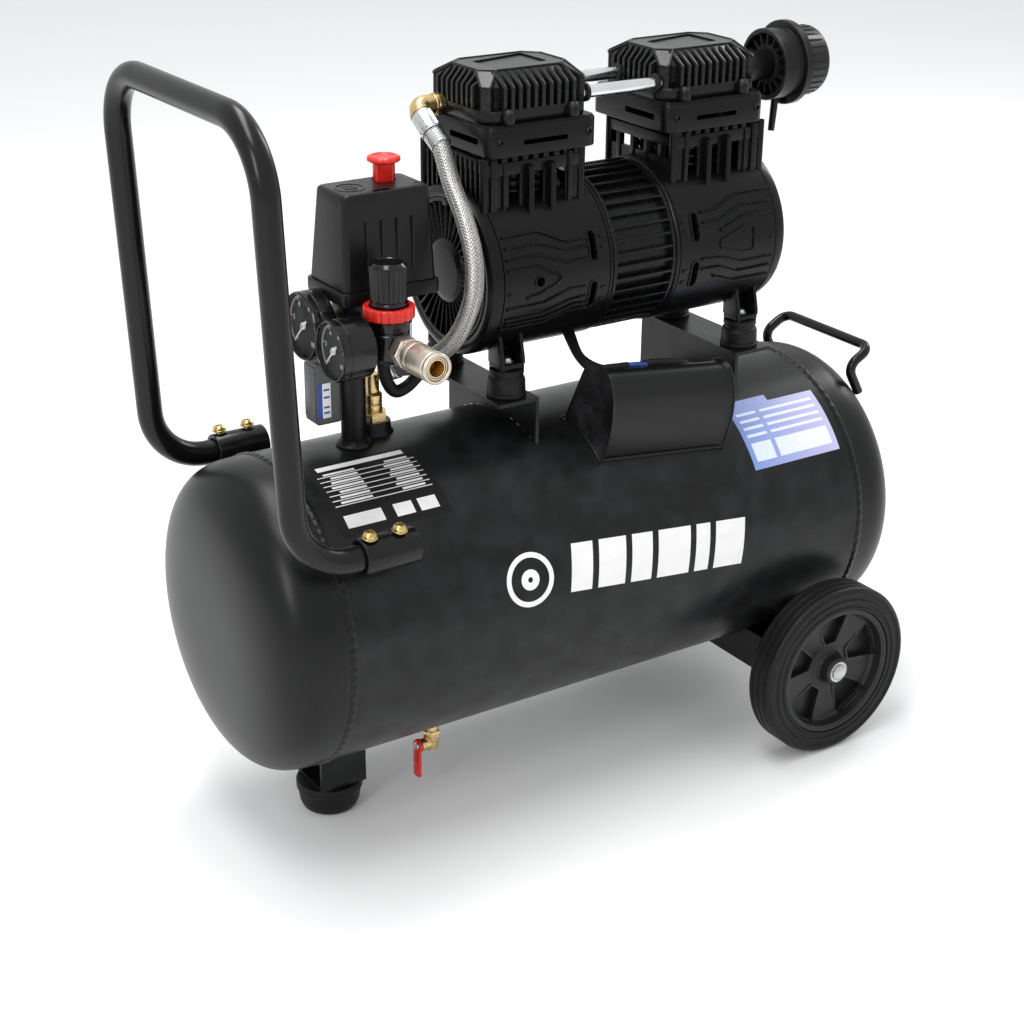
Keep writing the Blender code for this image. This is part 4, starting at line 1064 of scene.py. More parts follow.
def make_end_grille(name, side):
    centre = MOTOR + Vector((side * 0.143, 0, 0))
    outward = aim(centre, (side, 0, 0))
    guard = Shape().turn([(0.0538, -0.0025), (0.0573, -0.0025), (0.0573, 0.0018), (0.0566, 0.0025),
                          (0.0545, 0.0025), (0.0538, 0.0018)], outward, 112)
    guard.turn([(0, 0.0052), (0.011, 0.005), (0.02, 0.0041), (0.0248, 0.0026), (0.0266, 0.0006),
                (0.027, -0.0025), (0.024, -0.0025), (0.0235, -0.001), (0, 0.001)], outward, 96, 0.0008)
    for i in range(38):
        turn = Matrix.Translation(centre) @ Matrix.Rotation(math.tau * i / 38, 4, "X")
        tilt = Matrix.Rotation(math.radians(side * 22), 4, "Z")
        guard.box((-0.0025, -0.00075, 0.0255), (0.0025, 0.00075, 0.0546), 0.0002, turn @ tilt)
    guard.box((-0.003, -0.0032, 0.052), (0.003, 0.0032, 0.0571), 0.0006, Matrix.Translation(centre))
    put(guard, "fan_guard_" + name, "cast", "end_grille_" + name)


# Valve plates and head covers

COVER_EDGE = [(0.0495, 0.031), (0.0405, 0.044), (-0.0405, 0.044), (-0.0495, 0.031),
              (-0.0495, -0.031), (-0.0405, -0.044), (0.0405, -0.044), (0.0495, -0.031)]
PLATEAU = [(0.0403, 0.0165), (0.029, 0.0268), (-0.029, 0.0268), (-0.0403, 0.0165),
           (-0.0403, -0.0165), (-0.029, -0.0268), (0.029, -0.0268), (0.0403, -0.0165)]


def make_valve_plate(name, side):
    low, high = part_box("valve_plate_" + name)
    centre = (low + high) / 2
    half_x, half_y = (high.x - low.x) / 2, (high.y - low.y) / 2
    place = shift(centre.x, centre.y, 0)
    block = Shape().prism(rectangle(-half_x, -half_y, half_x, half_y), low.z, high.z - 0.0012, place, 0.0012,
                          0.0095, 8)
    near_slot = Shape().box((-0.0195 if side < 0 else -0.021, -0.08, 0.5403),
                            (0.021 if side < 0 else 0.0195, 0.08, 0.544), 0.0011, place)
    side_slot = Shape().box((-0.08, -0.0357, 0.5403), (0.08, 0.0046, 0.545), 0.0012, place)
    block.cut(near_slot, side_slot)
    block.prism(rectangle(-half_x + 0.0012, -half_y + 0.0012, half_x - 0.0012, half_y - 0.0012),
                high.z - 0.0025, high.z, place, 0.0007, 0.0085, 8)
    put(block, "head_plate_" + name, "cast", "valve_plate_" + name)
    screw = Shape()
    for u in (-0.0405, 0.0405):
        screw.absorb(pan_head(0.003, 0.0022, "hex"), aim((centre.x + u, low.y + 0.0004, 0.544), NEAR))
    put(screw, "head_plate_screws_" + name, "cast")


def plateau_edge(b):
    """How far the raised middle reaches along X at this distance from its middle line."""
    b = abs(b)
    if b <= 0.0165:
        return 0.0403
    return 0.0403 + (b - 0.0165) / (0.0268 - 0.0165) * (0.029 - 0.0403)


def make_head_cover(name):
    low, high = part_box("head_cover_" + name)
    cx, cy = (low.x + high.x) / 2, (low.y + high.y) / 2
    place = shift(cx, cy, 0)
    skirt, shelf, rim, top = low.z, 0.566, 0.583, high.z
    edge = [Vector(point) for point in COVER_EDGE]
    cover = Shape()
    cover.prism(edge, skirt, shelf, place, 0.0009, 0.003, 4)
    inset = shrink(edge, 0.0065)
    middle_ring = [(x, y, rim - 0.0005) for x, y in inset]
    core = Shape().loft([[(x, y, shelf - 0.002) for x, y in inset], middle_ring,
                         [(x, y, top) for x, y in PLATEAU]], place)
    sunken = Shape().prism([(-0.0258, 0.0127), (0.0261, 0.0233), (0.0268, -0.0134), (-0.0235, -0.0235)],
                           top - 0.0013, top + 0.01, place, soften=0.0022)
    cover.absorb(core.cut(sunken))
    for sx in (-1, 1):
        for sy in (-1, 1):
            inner = [(sx * 0.0405, sy * 0.0163), (sx * 0.0288, sy * 0.027)]
            outer = [(sx * 0.0472, sy * 0.0342), (sx * 0.0428, sy * 0.0408)]
            rings = [[(*inner[0], shelf), (*inner[1], shelf), (*inner[1], top - 0.0002),
                      (*inner[0], top - 0.0002)],
                     [(*outer[0], shelf), (*outer[1], shelf), (*outer[1], rim), (*outer[0], rim)]]
            cover.loft(rings, place)
            rail = [Vector((*inner[0], top - 0.0002)), Vector((*outer[0], rim)), Vector((*outer[1], rim)),
                    Vector((*inner[1], top - 0.0002))]
            cover.tube([place @ point for point in arcs(rail, 0.002, 3)], 0.0009, 10)
    for face in (-1, 1):
        for i in range(10):
            a = -0.0315 + 0.007 * i
            outline = [(face * 0.025, shelf - 0.001), (face * 0.025, top - 0.0016),
                       (face * 0.0272, top - 0.0004), (face * 0.0425, rim + 0.0008),
                       (face * 0.044, rim - 0.001), (face * 0.044, shelf - 0.001)]
            turn = facing_right(cx + a, cy)
            cover.prism(outline, -0.0016, 0.0016, turn, 0.0004)
        for i in range(8):
            b = -0.0249 + 0.0071 * i
            reach = plateau_edge(b)
            outline = [(face * (reach - 0.003), shelf - 0.001), (face * (reach - 0.003), top - 0.0016),
                       (face * (reach + 0.0004), top - 0.0005), (face * 0.0482, rim + 0.0008),
                       (face * 0.0495, rim - 0.001), (face * 0.0495, shelf - 0.001)]
            turn = Matrix(((1, 0, 0, cx), (0, 0, -1, cy + b), (0, 1, 0, 0), (0, 0, 0, 1)))
            cover.prism(outline, -0.0016, 0.0016, turn, 0.0004)
    lip = [place @ Vector((x, y, top - 0.0002)) for x, y in PLATEAU]
    cover.tube(arcs(lip, 0.002, 3, closed=True), 0.001, 10, closed=True)
    for a in (-0.0295, 0.0295):
        for b in (-0.0455, 0.0455):
            cover.turn(rod(0.0052, skirt, 0.564), shift(cx + a, cy + b, 0), 36, 0.0006)
    put(cover, "cylinder_head_" + name, "head", "head_cover_" + name, sharp=35)
    bolts = Shape()
    for a in (-0.0295, 0.0295):
        for b in (-0.0455, 0.0455):
            bolts.absorb(pan_head(0.004, 0.0036, "hex"), shift(cx + a, cy + b, 0.5638))
    put(bolts, "head_bolts_" + name, "dark_steel")


def make_head_tubes():
    for name in ENDS:
        low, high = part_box("head_tube_" + name)
        centre, half = (low + high) / 2, (high.x - low.x) / 2
        radius = (high.z - low.z) / 2
        profile = rod(radius, -half, half)
        tube = Shape().turn(profile, aim(centre, RIGHT), 48)
        put(tube, "air_tube_" + name, "aluminium", "head_tube_" + name)
        seals = Shape()
        for side in (-1, 1):
            face = centre + Vector((side * (half - 0.0072), 0, 0))
            seals.turn([(radius, -0.0022), (radius + 0.0022, -0.0022), (radius + 0.0026, 0.0012),
                        (radius, 0.0012)], aim(face, (side, 0, 0)), 40, 0.0004)
        put(seals, "air_tube_seals_" + name, "rubber")


def make_filter():
    low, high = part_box("intake_filter")
    start = Vector((low.x, (low.y + high.y) / 2, (low.z + high.z) / 2))
    along = aim(start, RIGHT)
    body = Shape().turn(rod(0.012, 0, 0.044), along, 48, 0.0008)
    body.turn([(0, 0.049), (0.025, 0.049), (0.0256, 0.048), (0.0256, 0.0392), (0.0264, 0.0383),
               (0.029, 0.0383), (0.0298, 0.0392), (0.0298, 0.0412), (0.029, 0.0418), (0.029, 0.056),
               (0.0296, 0.0574), (0.0342, 0.0576), (0.035, 0.0584), (0.035, 0.0636), (0.0342, 0.0644),
               (0.0292, 0.0646), (0.0288, 0.0654), (0.0288, 0.0852), (0.0276, 0.0876), (0.0256, 0.0884),
               (0.018, 0.0885), (0.0168, 0.0873), (0, 0.0873)], along, 96)
    for i in range(16):
        turn = along @ Matrix.Rotation(math.tau * i / 16, 4, "Z")
        body.box((0.012, -0.0007, 0.041), (0.0254, 0.0007, 0.0495), 0.0002, turn)
    for i in range(28):
        turn = along @ Matrix.Rotation(math.tau * (i + 0.5) / 28, 4, "Z")
        body.box((0.028, -0.0008, 0.068), (0.02925, 0.0008, 0.084), 0.0002, turn)
    put(body, "filter_housing", "plastic", "intake_filter")
    root = Vector((start.x + 0.0535, start.y, start.z - 0.0285))
    drop = Shape().tube([root, root + Vector((-0.0008, 0, -0.012)), root + Vector((-0.0022, 0, -0.0285))],
                        0.003, 24, swell=lambda u, d: 1.08 - 5.0 * d)
    put(drop, "filter_drip_tube", "plastic")
    foam = Shape().turn(rectangle(0.0121, 0.0405, 0.0165, 0.0489), along, 48, 0.0006)
    put(foam, "filter_sponge", "sponge")


# Air line


def braid(u, distance):
    """How far a crossing of two families of flat wire bundles swells the hose."""
    first = 16 * u + distance / 0.0028
    second = 16 * u - distance / 0.0028
    i, j = math.floor(first), math.floor(second)
    over = first - i if (i + j) % 4 < 2 else second - j
    crown = math.sqrt(max(0.0, 1 - (2 * over - 1) ** 4))
    return 0.885 + 0.115 * crown


def even(points, step):
    """The path cut into equal short steps."""
    path, carry = [points[0]], 0.0
    for a, b in zip(points, points[1:]):
        span = (b - a).length
        at = step - carry
        while at < span:
            path.append(a.lerp(b, at / span))
            at += step
        carry = span - (at - step)
    path.append(points[-1])
    return path


def make_elbow_and_hose():
    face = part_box("head_cover_left")[0].x - 0.0003
    turn, way = Vector((-0.095, 0.0375, 0.5625)), Vector((0, -0.832, -0.555))
    corner = arcs([(face, turn.y, turn.z), turn, turn + way * 0.016], 0.009, 12)
    elbow = Shape().tube(corner, 0.0078, 40)
    into = aim((face, turn.y, turn.z), LEFT)
    elbow.turn(rod(0.0092, 0.0002, 0.0058), into, 6, 0.0004)
    elbow.turn(rod(0.0084, 0.0056, 0.0078), into, 48, 0.0004)
    elbow.turn([(0, 0.0062), (0.0086, 0.0062), (0.009, 0.0072), (0.009, 0.0092), (0, 0.0092)],
               aim(turn, way), 48, 0.0004)
    put(elbow, "elbow_body", "brass", "discharge_elbow")
    along = aim(turn, way, math.radians(12))
    nut = Shape().turn([(0, 0.011), (0.0084, 0.011), (0.0098, 0.012), (0.0098, 0.0268), (0.0086, 0.028),
                        (0, 0.028)], along, 6)
    nut.turn(rod(0.0088, 0.01, 0.029), along, 48, 0.0005)
    put(nut, "swivel_nut", "zinc")
    start = turn + way * 0.0293
    route = [start + way * 0.004, start + way * 0.014, (-0.0985, -0.0197, 0.5143),
             (-0.103, -0.0452, 0.4936), (-0.108, -0.0656, 0.469), (-0.114, -0.073, 0.4415),
             (-0.12, -0.058, 0.4072), (-0.128, -0.0271, 0.3817), (-0.135, 0.0023, 0.3693),
             (-0.142, 0.0135, 0.364)]
    path = even([start] + smooth_path(route, 12), 0.00035)
    weave = Shape().tube(path, 0.0071, 128, swell=braid)
    put(weave, "hose_braid", "braid", "braided_hose", sharp=75)
    crimps = Shape()
    for line in (path[:44], path[::-1][:40]):
        origin, ahead = line[0], (line[30] - line[0]).normalized()
        flute = [(0.0068, 0.0004), (0.008, 0.0008)]
        for i in range(5):
            flute += [(0.0083, 0.0016 + 0.0024 * i), (0.0076, 0.0026 + 0.0024 * i),
                      (0.0076, 0.0032 + 0.0024 * i)]
        flute += [(0.0083, 0.0138), (0.0076, 0.0144), (0.006, 0.0144), (0.0058, 0.0004)]
        crimps.turn(flute, aim(origin, ahead), 40)
    put(crimps, "hose_crimps", "zinc")


def make_check_valve():
    low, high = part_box("check_valve")
    x, y = (low.x + high.x) / 2, (low.y + high.y) / 2
    base = TANK.z + math.sqrt(TANK_RADIUS ** 2 - 0.006 ** 2) + 0.0003
    place = shift(x, y, base)
    valve = Shape().turn([(0, -0.0006), (0.015, -0.001), (0.0142, 0.0012), (0.0125, 0.0026),
                          (0.012, 0.006), (0, 0.006)], place, 56, 0.0005)
    valve.turn([(0, 0.005), (0.0112, 0.005), (0.0122, 0.0062), (0.0122, 0.0156), (0.0112, 0.0168),
                (0, 0.0168)], place, 6)
    valve.turn([(0, 0.016), (0.008, 0.016), (0.008, 0.0225), (0.0072, 0.0232), (0.008, 0.024),
                (0.008, 0.0308), (0.0058, 0.033), (0.0058, 0.0478), (0, 0.0478)], place, 48, 0.0004)
    put(valve, "check_valve_body", "brass", "check_valve")
    boss = Shape().turn([(0.01, -0.0014), (0.0172, -0.002), (0.016, 0.0014), (0.0146, 0.003),
                         (0.0142, 0.0086), (0.0134, 0.0094), (0.01, 0.0094)], place, 64, 0.0005)
    put(boss, "check_valve_boss", "coat")


def make_standpipe():
    low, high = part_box("standpipe")
    x = (low.x + high.x) / 2
    pipe = Shape().turn(rod(0.01, low.z + 0.0002, high.z), shift(x, 0, 0), 56, 0.0004)
    pipe.turn([(0, low.z + 0.0003), (0.015, low.z - 0.0004), (0.0138, low.z + 0.0024),
               (0.0104, low.z + 0.0052), (0, low.z + 0.006)], shift(x, 0, 0), 56, 0.0008)
    pipe.box((x - 0.011, -0.011, 0.4045), (x + 0.011, 0.011, 0.4332), 0.0022, segments=4)
    pipe.turn(rod(0.0098, high.z - 0.0042, high.z), shift(x, 0, 0), 6)
    put(pipe, "riser_pipe", "coat", "standpipe")
    nipple = Shape().turn(rod(0.0065, 0.011, 0.041), across((x, 0, 0.4165), -1), 40, 0.0004)
    nipple.turn(rod(0.0085, 0.015, 0.023), across((x, 0, 0.4165), -1), 6, 0.0004)
    put(nipple, "regulator_nipple", "nickel")
    box = Shape().box((x - 0.0315, -0.001, 0.336), (x - 0.0105, 0.02, 0.387), 0.0022, segments=4)
    box.box((x - 0.0325, 0.001, 0.34), (x - 0.0305, 0.018, 0.383), 0.0006)
    put(box, "terminal_box", "grey_box")
    label = Shape().box((x - 0.0272, -0.0014, 0.342), (x - 0.02, -0.0008, 0.37), 0.0001)
    put(label, "terminal_label", "white")
    stripes = Shape()
    stripes.box((x - 0.0312, -0.0014, 0.342), (x - 0.0272, -0.0008, 0.37), 0.0001)
    for z in (0.3455, 0.35, 0.358, 0.364):
        stripes.box((x - 0.0262, -0.00165, z), (x - 0.0212, -0.0012, z + 0.0016), 0.0001)
    put(stripes, "terminal_stripes", "blue")


def make_safety_valve():
    low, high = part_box("safety_valve")
    x, z = (low.x + high.x) / 2, (low.z + high.z) / 2
    place = across((x, 0, z), 1)
    valve = Shape().turn(rod(0.0062, 0.0112, 0.013), place, 40)
    valve.turn(rod(0.0082, 0.0126, 0.0206), place, 6, 0.0005)
    valve.turn([(0.0021, 0.02), (0.0062, 0.02), (0.0066, 0.0222), (0.0055, 0.0234), (0.0055, 0.0362),
                (0.0044, 0.0373), (0.0021, 0.0373)], place, 48, 0.0003)
    put(valve, "relief_valve", "brass", "safety_valve")
    ring = Shape().tube([(x, 0.0498 + c, z + d) for c, d in circle(0.0092, 56)], 0.0012, 16, closed=True)
    ring.turn(rod(0.0015, 0.03, 0.0408), place, 20)
    put(ring, "relief_ring", "steel", "safety_ring", "safety_ring")


def wall_ring(centre, half_x, half_y, radius, z, count=6):
    corners = [Vector((centre[0] + sx * half_x, centre[1] + sy * half_y)) for sx, sy in
               ((-1, -1), (1, -1), (1, 1), (-1, 1))]
    return [(p.x, p.y, z) for p in arcs(corners, radius, count, closed=True)]


def make_switch():
    low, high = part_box("switch_base")
    centre = ((low.x + high.x) / 2, (low.y + high.y) / 2)
    half_x, half_y = (high.x - low.x) / 2, (high.y - low.y) / 2
    base = Shape()
    rings = [(0.002, 0.0), (0.0004, 0.0006), (0, 0.0022), (0, 0.0102), (0.0004, 0.011)]
    base.loft([wall_ring(centre, half_x - inset, half_y - inset, 0.005, low.z + rise)
               for inset, rise in rings])
    base.loft([wall_ring(centre, half_x - 0.003, half_y - 0.003, 0.0045, z)
               for z in (low.z + 0.0105, high.z + 0.0002)])
    put(base, "switch_tray", "plastic", "switch_base")
    gland = Shape().turn(rod(0.0078, -0.0122, -0.0052), shift(*GLAND_SPOT, low.z), 6, 0.0006)
    gland.turn(rod(0.0092, -0.0056, 0.0), shift(*GLAND_SPOT, low.z), 40, 0.0006)
    put(gland, "switch_gland", "zinc")
    make_switch_cover()
    make_switch_knob()


def make_switch_cover():
    low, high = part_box("switch_cover")
    count, rings = 7, []
    stages = [(0.0, 0.0), (0.3, 0.0), (0.6, 0.0), (0.85, 0.0), (0.962, 0.0), (0.978, 0.0003), (0.99, 0.001),
              (0.997, 0.0018), (1.0, 0.0028)]
    for t, inset in stages:
        x0, x1 = low.x + 0.002 * t, high.x - 0.004 * t
        y0, y1 = low.y + 0.0025 * t, high.y - 0.0105 * t
        centre = ((x0 + x1) / 2, (y0 + y1) / 2)
        z = low.z + (high.z - low.z) * t
        rings.append(wall_ring(centre, (x1 - x0) / 2 - inset, (y1 - y0) / 2 - inset,
                               0.0052 - inset * 0.5, z, count))
    cover = Shape().loft(rings)
    cutters = [Shape().turn(rod(0.0092, -0.0195, 0.01), shift(*KNOB_SPOT, high.z), 48)]
    cutters.append(Shape().box((-0.17, -0.028, high.z - 0.003), (-0.156, -0.0235, high.z + 0.01), 0.0008))
    for x, y in ((-0.13, -0.02), (-0.1335, 0.01), (-0.166, 0.0105)):
        cutters.append(Shape().turn(rod(0.0014, -0.006, 0.004), shift(x, y, high.z), 20))
    cover.cut(*cutters)
    top = high.z
    cover.turn([(0.0102, -0.0006), (0.0118, -0.0006), (0.0116, 0.0004), (0.0104, 0.0004)],
               shift(-0.18, -0.009, top), 64)
    for x, length in ((-0.1835, 0.005), (-0.18, 0.0078), (-0.1765, 0.005)):
        cover.box((x - 0.0009, -0.009 - length, top - 0.0006), (x + 0.0009, -0.009 + length, top + 0.0004),
                  0.0003)
    near = low.y
    for i in range(4):
        x = -0.179 + 0.013 * i
        cover.box((x - 0.0008, near - 0.0003, low.z + 0.01), (x + 0.0008, near + 0.0035, low.z + 0.05),
                  0.0003)
    put(cover, "switch_housing", "plastic", "switch_cover", sharp=40)


def make_switch_knob():
    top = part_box("switch_cover")[1].z

    def grip(radius, height, angle):
        if radius < 0.0095 or not 0.0138 < height < 0.0176:
            return radius
        return radius * (1 - 0.045 * (0.5 + 0.5 * math.cos(angle * 12)) ** 3)

    profile = [(0, -0.012), (0.0084, -0.012), (0.0084, 0.0126), (0.0116, 0.0138), (0.0127, 0.0146),
               (0.0127, 0.0163), (0.012, 0.0172), (0.0104, 0.018), (0.0088, 0.0178), (0.008, 0.0172),
               (0, 0.0172)]
    knob = Shape().turn(profile, shift(*KNOB_SPOT, top), 144, 0.0004, 2, grip)
    for i in range(4):
        turn = shift(*KNOB_SPOT, top) @ Matrix.Rotation(math.pi * i / 2 + 0.4, 4, "Z")
        knob.box((0.008, -0.001, -0.011), (0.0088, 0.001, 0.012), 0.0002, turn)
    put(knob, "switch_button", "red", "switch_knob", "switch_knob")


def make_regulator():
    low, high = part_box("regulator_body")
    x, y = (low.x + high.x) / 2, (low.y + high.y) / 2
    place = shift(x, y, low.z)
    body = Shape().turn([(0, 0), (0.011, 0), (0.012, 0.0022), (0.0152, 0.0026), (0.0168, 0.0048),
                         (0.0168, 0.023), (0.016, 0.0238), (0.016, 0.025), (0.0168, 0.0258),
                         (0.0168, 0.0332), (0.015, 0.0338), (0.015, 0.043), (0, 0.043)], place, 96, 0.0004)
    put(body, "regulator_housing", "gloss_plastic", "regulator_body")

    def notches(radius, height, angle):
        if radius < 0.0175:
            return radius
        return radius - 0.0009 * max(0.0, math.cos(angle * 18)) ** 2

    ring = Shape().turn([(0.0149, 0.034), (0.0186, 0.034), (0.0192, 0.0347), (0.0192, 0.0385),
                         (0.0192, 0.0422),
                         (0.0185, 0.043), (0.0149, 0.043)], place, 216, 0.0003, 2, notches)
    put(ring, "regulator_lock_ring", "red")
    rings = []
    for i in range(9):
        angle = -0.98 + 0.04 * i
        rings.append([(x + r * math.cos(angle), y + r * math.sin(angle), low.z + z)
                      for r, z in ((0.0166, 0.0195), (0.01695, 0.0195), (0.01695, 0.031), (0.0166, 0.031))])
    badge = Shape().loft(rings)
    put(badge, "regulator_badge", "notice_bars")
    knob_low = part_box("regulator_knob")[0].z

    def flutes(radius, height, angle):
        if radius < 0.0128 or height < 0.005 or height > 0.0296:
            return radius
        return radius - 0.00055 * (0.5 + 0.5 * math.cos(angle * 24)) ** 2

    profile = [(0, 0), (0.0134, 0), (0.0139, 0.0006), (0.0139, 0.0022), (0.0132, 0.0028), (0.0132, 0.0036),
               (0.0139, 0.0044), (0.0139, 0.0058), (0.0139, 0.028), (0.0137, 0.0296), (0.0114, 0.0323),
               (0.01, 0.0325), (0.0092, 0.0318), (0, 0.0318)]
    knob = Shape().turn(profile, shift(x, y, knob_low), 192, 0.0004, 2, flutes)
    put(knob, "regulator_handwheel", "gloss_plastic", "regulator_knob", "regulator_knob")


def make_coupler():
    sleeve_low, sleeve_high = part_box("coupler_sleeve")
    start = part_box("coupler_body")[1].y
    x, z = (sleeve_low.x + sleeve_high.x) / 2, (sleeve_low.z + sleeve_high.z) / 2
    place = across((x, start, z), -1)
    body = Shape().turn([(0.005, 0), (0.0104, 0), (0.0118, 0.0009), (0.0118, 0.0102), (0.0104, 0.0112),
                         (0.005, 0.0112)], place, 6)
    body.turn([(0.0052, 0.01), (0.0096, 0.01), (0.0096, 0.0116), (0.0088, 0.0121), (0.0088, 0.0498),
               (0.0084, 0.0503), (0.0076, 0.0503), (0.0072, 0.048), (0.0052, 0.044)], place, 72)
    put(body, "coupler_core", "nickel", "coupler_body")
    lining = Shape().turn([(0, 0.028), (0.0051, 0.028), (0.0051, 0.0436), (0.007, 0.0478), (0.007, 0.0498),
                           (0.0062, 0.0498), (0.006, 0.0478), (0.0042, 0.044), (0.0042, 0.03),
                           (0, 0.03)], place, 64)
    put(lining, "coupler_bore", "brass")

    profile = [(0.0091, 0.0165), (0.011, 0.0165), (0.0118, 0.0174), (0.0118, 0.023), (0.0114, 0.0234),
               (0.0118, 0.0238), (0.0118, 0.0462), (0.0112, 0.0467), (0.0112, 0.0475), (0.0118, 0.048),
               (0.0118, 0.0506), (0.011, 0.0515), (0.0096, 0.0515), (0.0091, 0.0508)]
    sleeve = Shape().turn(profile, place, 96, 0.0002, 2)
    put(sleeve, "coupler_collar", "nickel", "coupler_sleeve", "coupler_sleeve")


# Gauges


def dial_text(shape, words, size, place):
    curve = bpy.data.curves.new("numeral", "FONT")
    curve.body, curve.size = words, size
    curve.align_x, curve.align_y = "CENTER", "CENTER"
    curve.extrude = 0.00012
    curve.resolution_u = 3
    guide = add_object("numeral", curve)
    graph = bpy.context.evaluated_depsgraph_get()
    mesh = bpy.data.meshes.new_from_object(guide.evaluated_get(graph))
    mesh.transform(place)
    shape.bm.from_mesh(mesh)
    bpy.data.meshes.remove(mesh)
    bpy.data.objects.remove(guide)


def dial_angle(i, steps):
    """The angle of mark i on a dial whose scale runs clockwise over 270 degrees from lower left."""
    return math.radians(225 - 270 * i / steps)


def make_gauge(name, numbers):
    low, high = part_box("gauge_" + name)
    centre = middle("gauge_" + name)
    radius, face_x = (high.z - low.z) / 2, low.x
    depth = 0.0195 if name == "tank" else 0.029
    outward = Matrix(((0, 0, -1, 0), (-1, 0, 0, 0), (0, 1, 0, 0), (0, 0, 0, 1)))
    place = shift(face_x, centre.y, centre.z) @ outward
    rim, recess = 0.0022, 0.005
    case = Shape().turn([(0, -recess - 0.0006), (radius - rim, -recess - 0.0006), (radius - rim, -0.0009),
                         (radius - rim + 0.0006, 0), (radius - 0.0009, 0), (radius, -0.0012),
                         (radius, -0.0062), (radius - 0.0005, -0.0068), (radius, -0.0074),
                         (radius, -depth + 0.0022), (radius - 0.0026, -depth), (0, -depth)],
                        place, 128, 0.0003)
    stem = high.x - face_x
    case.turn(rod(0.0052, -stem, -depth + 0.001), place, 32)
    put(case, "gauge_case_" + name, "gloss_plastic", "gauge_" + name)
    stub = Shape().turn(rod(0.0074, -stem + 0.0004, -stem + 0.0066), place, 6, 0.0004)
    put(stub, "gauge_stem_" + name, "brass")
    dial = Shape().turn(rod(radius - rim - 0.0002, -recess + 0.0006, -recess - 0.0008), place, 96)
    put(dial, "gauge_dial_" + name, "dial")
    marks = Shape()
    reach = radius - rim - 0.0016
    level = -recess + 0.0006
    for i in range(51):
        angle = dial_angle(i, 50)
        long = i % 10 == 0
        turn = place @ Matrix.Rotation(angle, 4, "Z")
        length = 0.003 if long else (0.0022 if i % 5 == 0 else 0.0013)
        width = 0.00026 if long else 0.00014
        marks.box((reach - length, -width, level - 0.0001), (reach, width, level + 0.0001), 0, turn)
    ring = [(math.cos(dial_angle(i, 60)) * (reach + 0.0004),
             math.sin(dial_angle(i, 60)) * (reach + 0.0004), level) for i in range(61)]
    marks.sweep([place @ Vector(p) for p in ring], rectangle(-0.00018, -0.0001, 0.00018, 0.0001),
                [place.to_3x3() @ Vector(UP)] * 61)
    for i, number in enumerate(numbers):
        angle = dial_angle(i, len(numbers) - 1)
        at = Vector((math.cos(angle), math.sin(angle), 0)) * (reach - 0.0056)
        at.z = level
        dial_text(marks, number, radius * 0.2, place @ Matrix.Translation(at))
    put(marks, "gauge_scale_" + name, "white")
    pin = Shape().turn(rod(0.0012, level, -0.0012), place, 24)
    put(pin, "gauge_pin_" + name, "steel")
    make_pointer(name, place, radius, recess)
    pane = Shape().turn(rod(radius - rim - 0.0002, -0.0013, -0.0004), place, 96)
    put(pane, "gauge_glass_" + name, "glass")


def make_pointer(name, place, radius, recess):
    turn = place @ Matrix.Rotation(dial_angle(0, 1), 4, "Z")
    z0, z1 = -recess + 0.0013, -recess + 0.0019
    reach = radius - 0.0062
    outline = [(-0.006, -0.001), (0.0, -0.0008), (reach - 0.003, -0.0004), (reach, -0.0001),
               (reach, 0.0001), (reach - 0.003, 0.0004), (0.0, 0.0008), (-0.006, 0.001)]
    needle = Shape().prism(outline, z0, z1, turn, 0.00012)
    needle.turn([(0.0012, z0 - 0.0003), (0.0028, z0 - 0.0003), (0.0028, z1 + 0.0004), (0.0024, z1 + 0.0007),
                 (0.0012, z1 + 0.0007)], turn, 40)
    body = f"{name}_pointer"
    put(needle, "gauge_needle_" + name, "white", f"gauge_{name}_pointer", body)


# Electrical parts and drain


SHROUD_SECTION = [(-0.0364, 0.3098), (-0.0585, 0.353), (-0.064, 0.3605), (-0.073, 0.363),
                  (-0.081, 0.36), (-0.0862, 0.351), (-0.088, 0.337), (-0.0855, 0.318), (-0.0763, 0.2904)]
SHROUD_SKEW = Vector((0, -0.01, -0.0115))


def tank_foot(point):
    """The point brought down along the tank's radius to its surface."""
    away = Vector((0, point.y - TANK.y, point.z - TANK.z)).normalized()
    return Vector((point.x, 0, 0)) + Vector((0, TANK.y, TANK.z)) + away * (TANK_RADIUS + 0.0006)


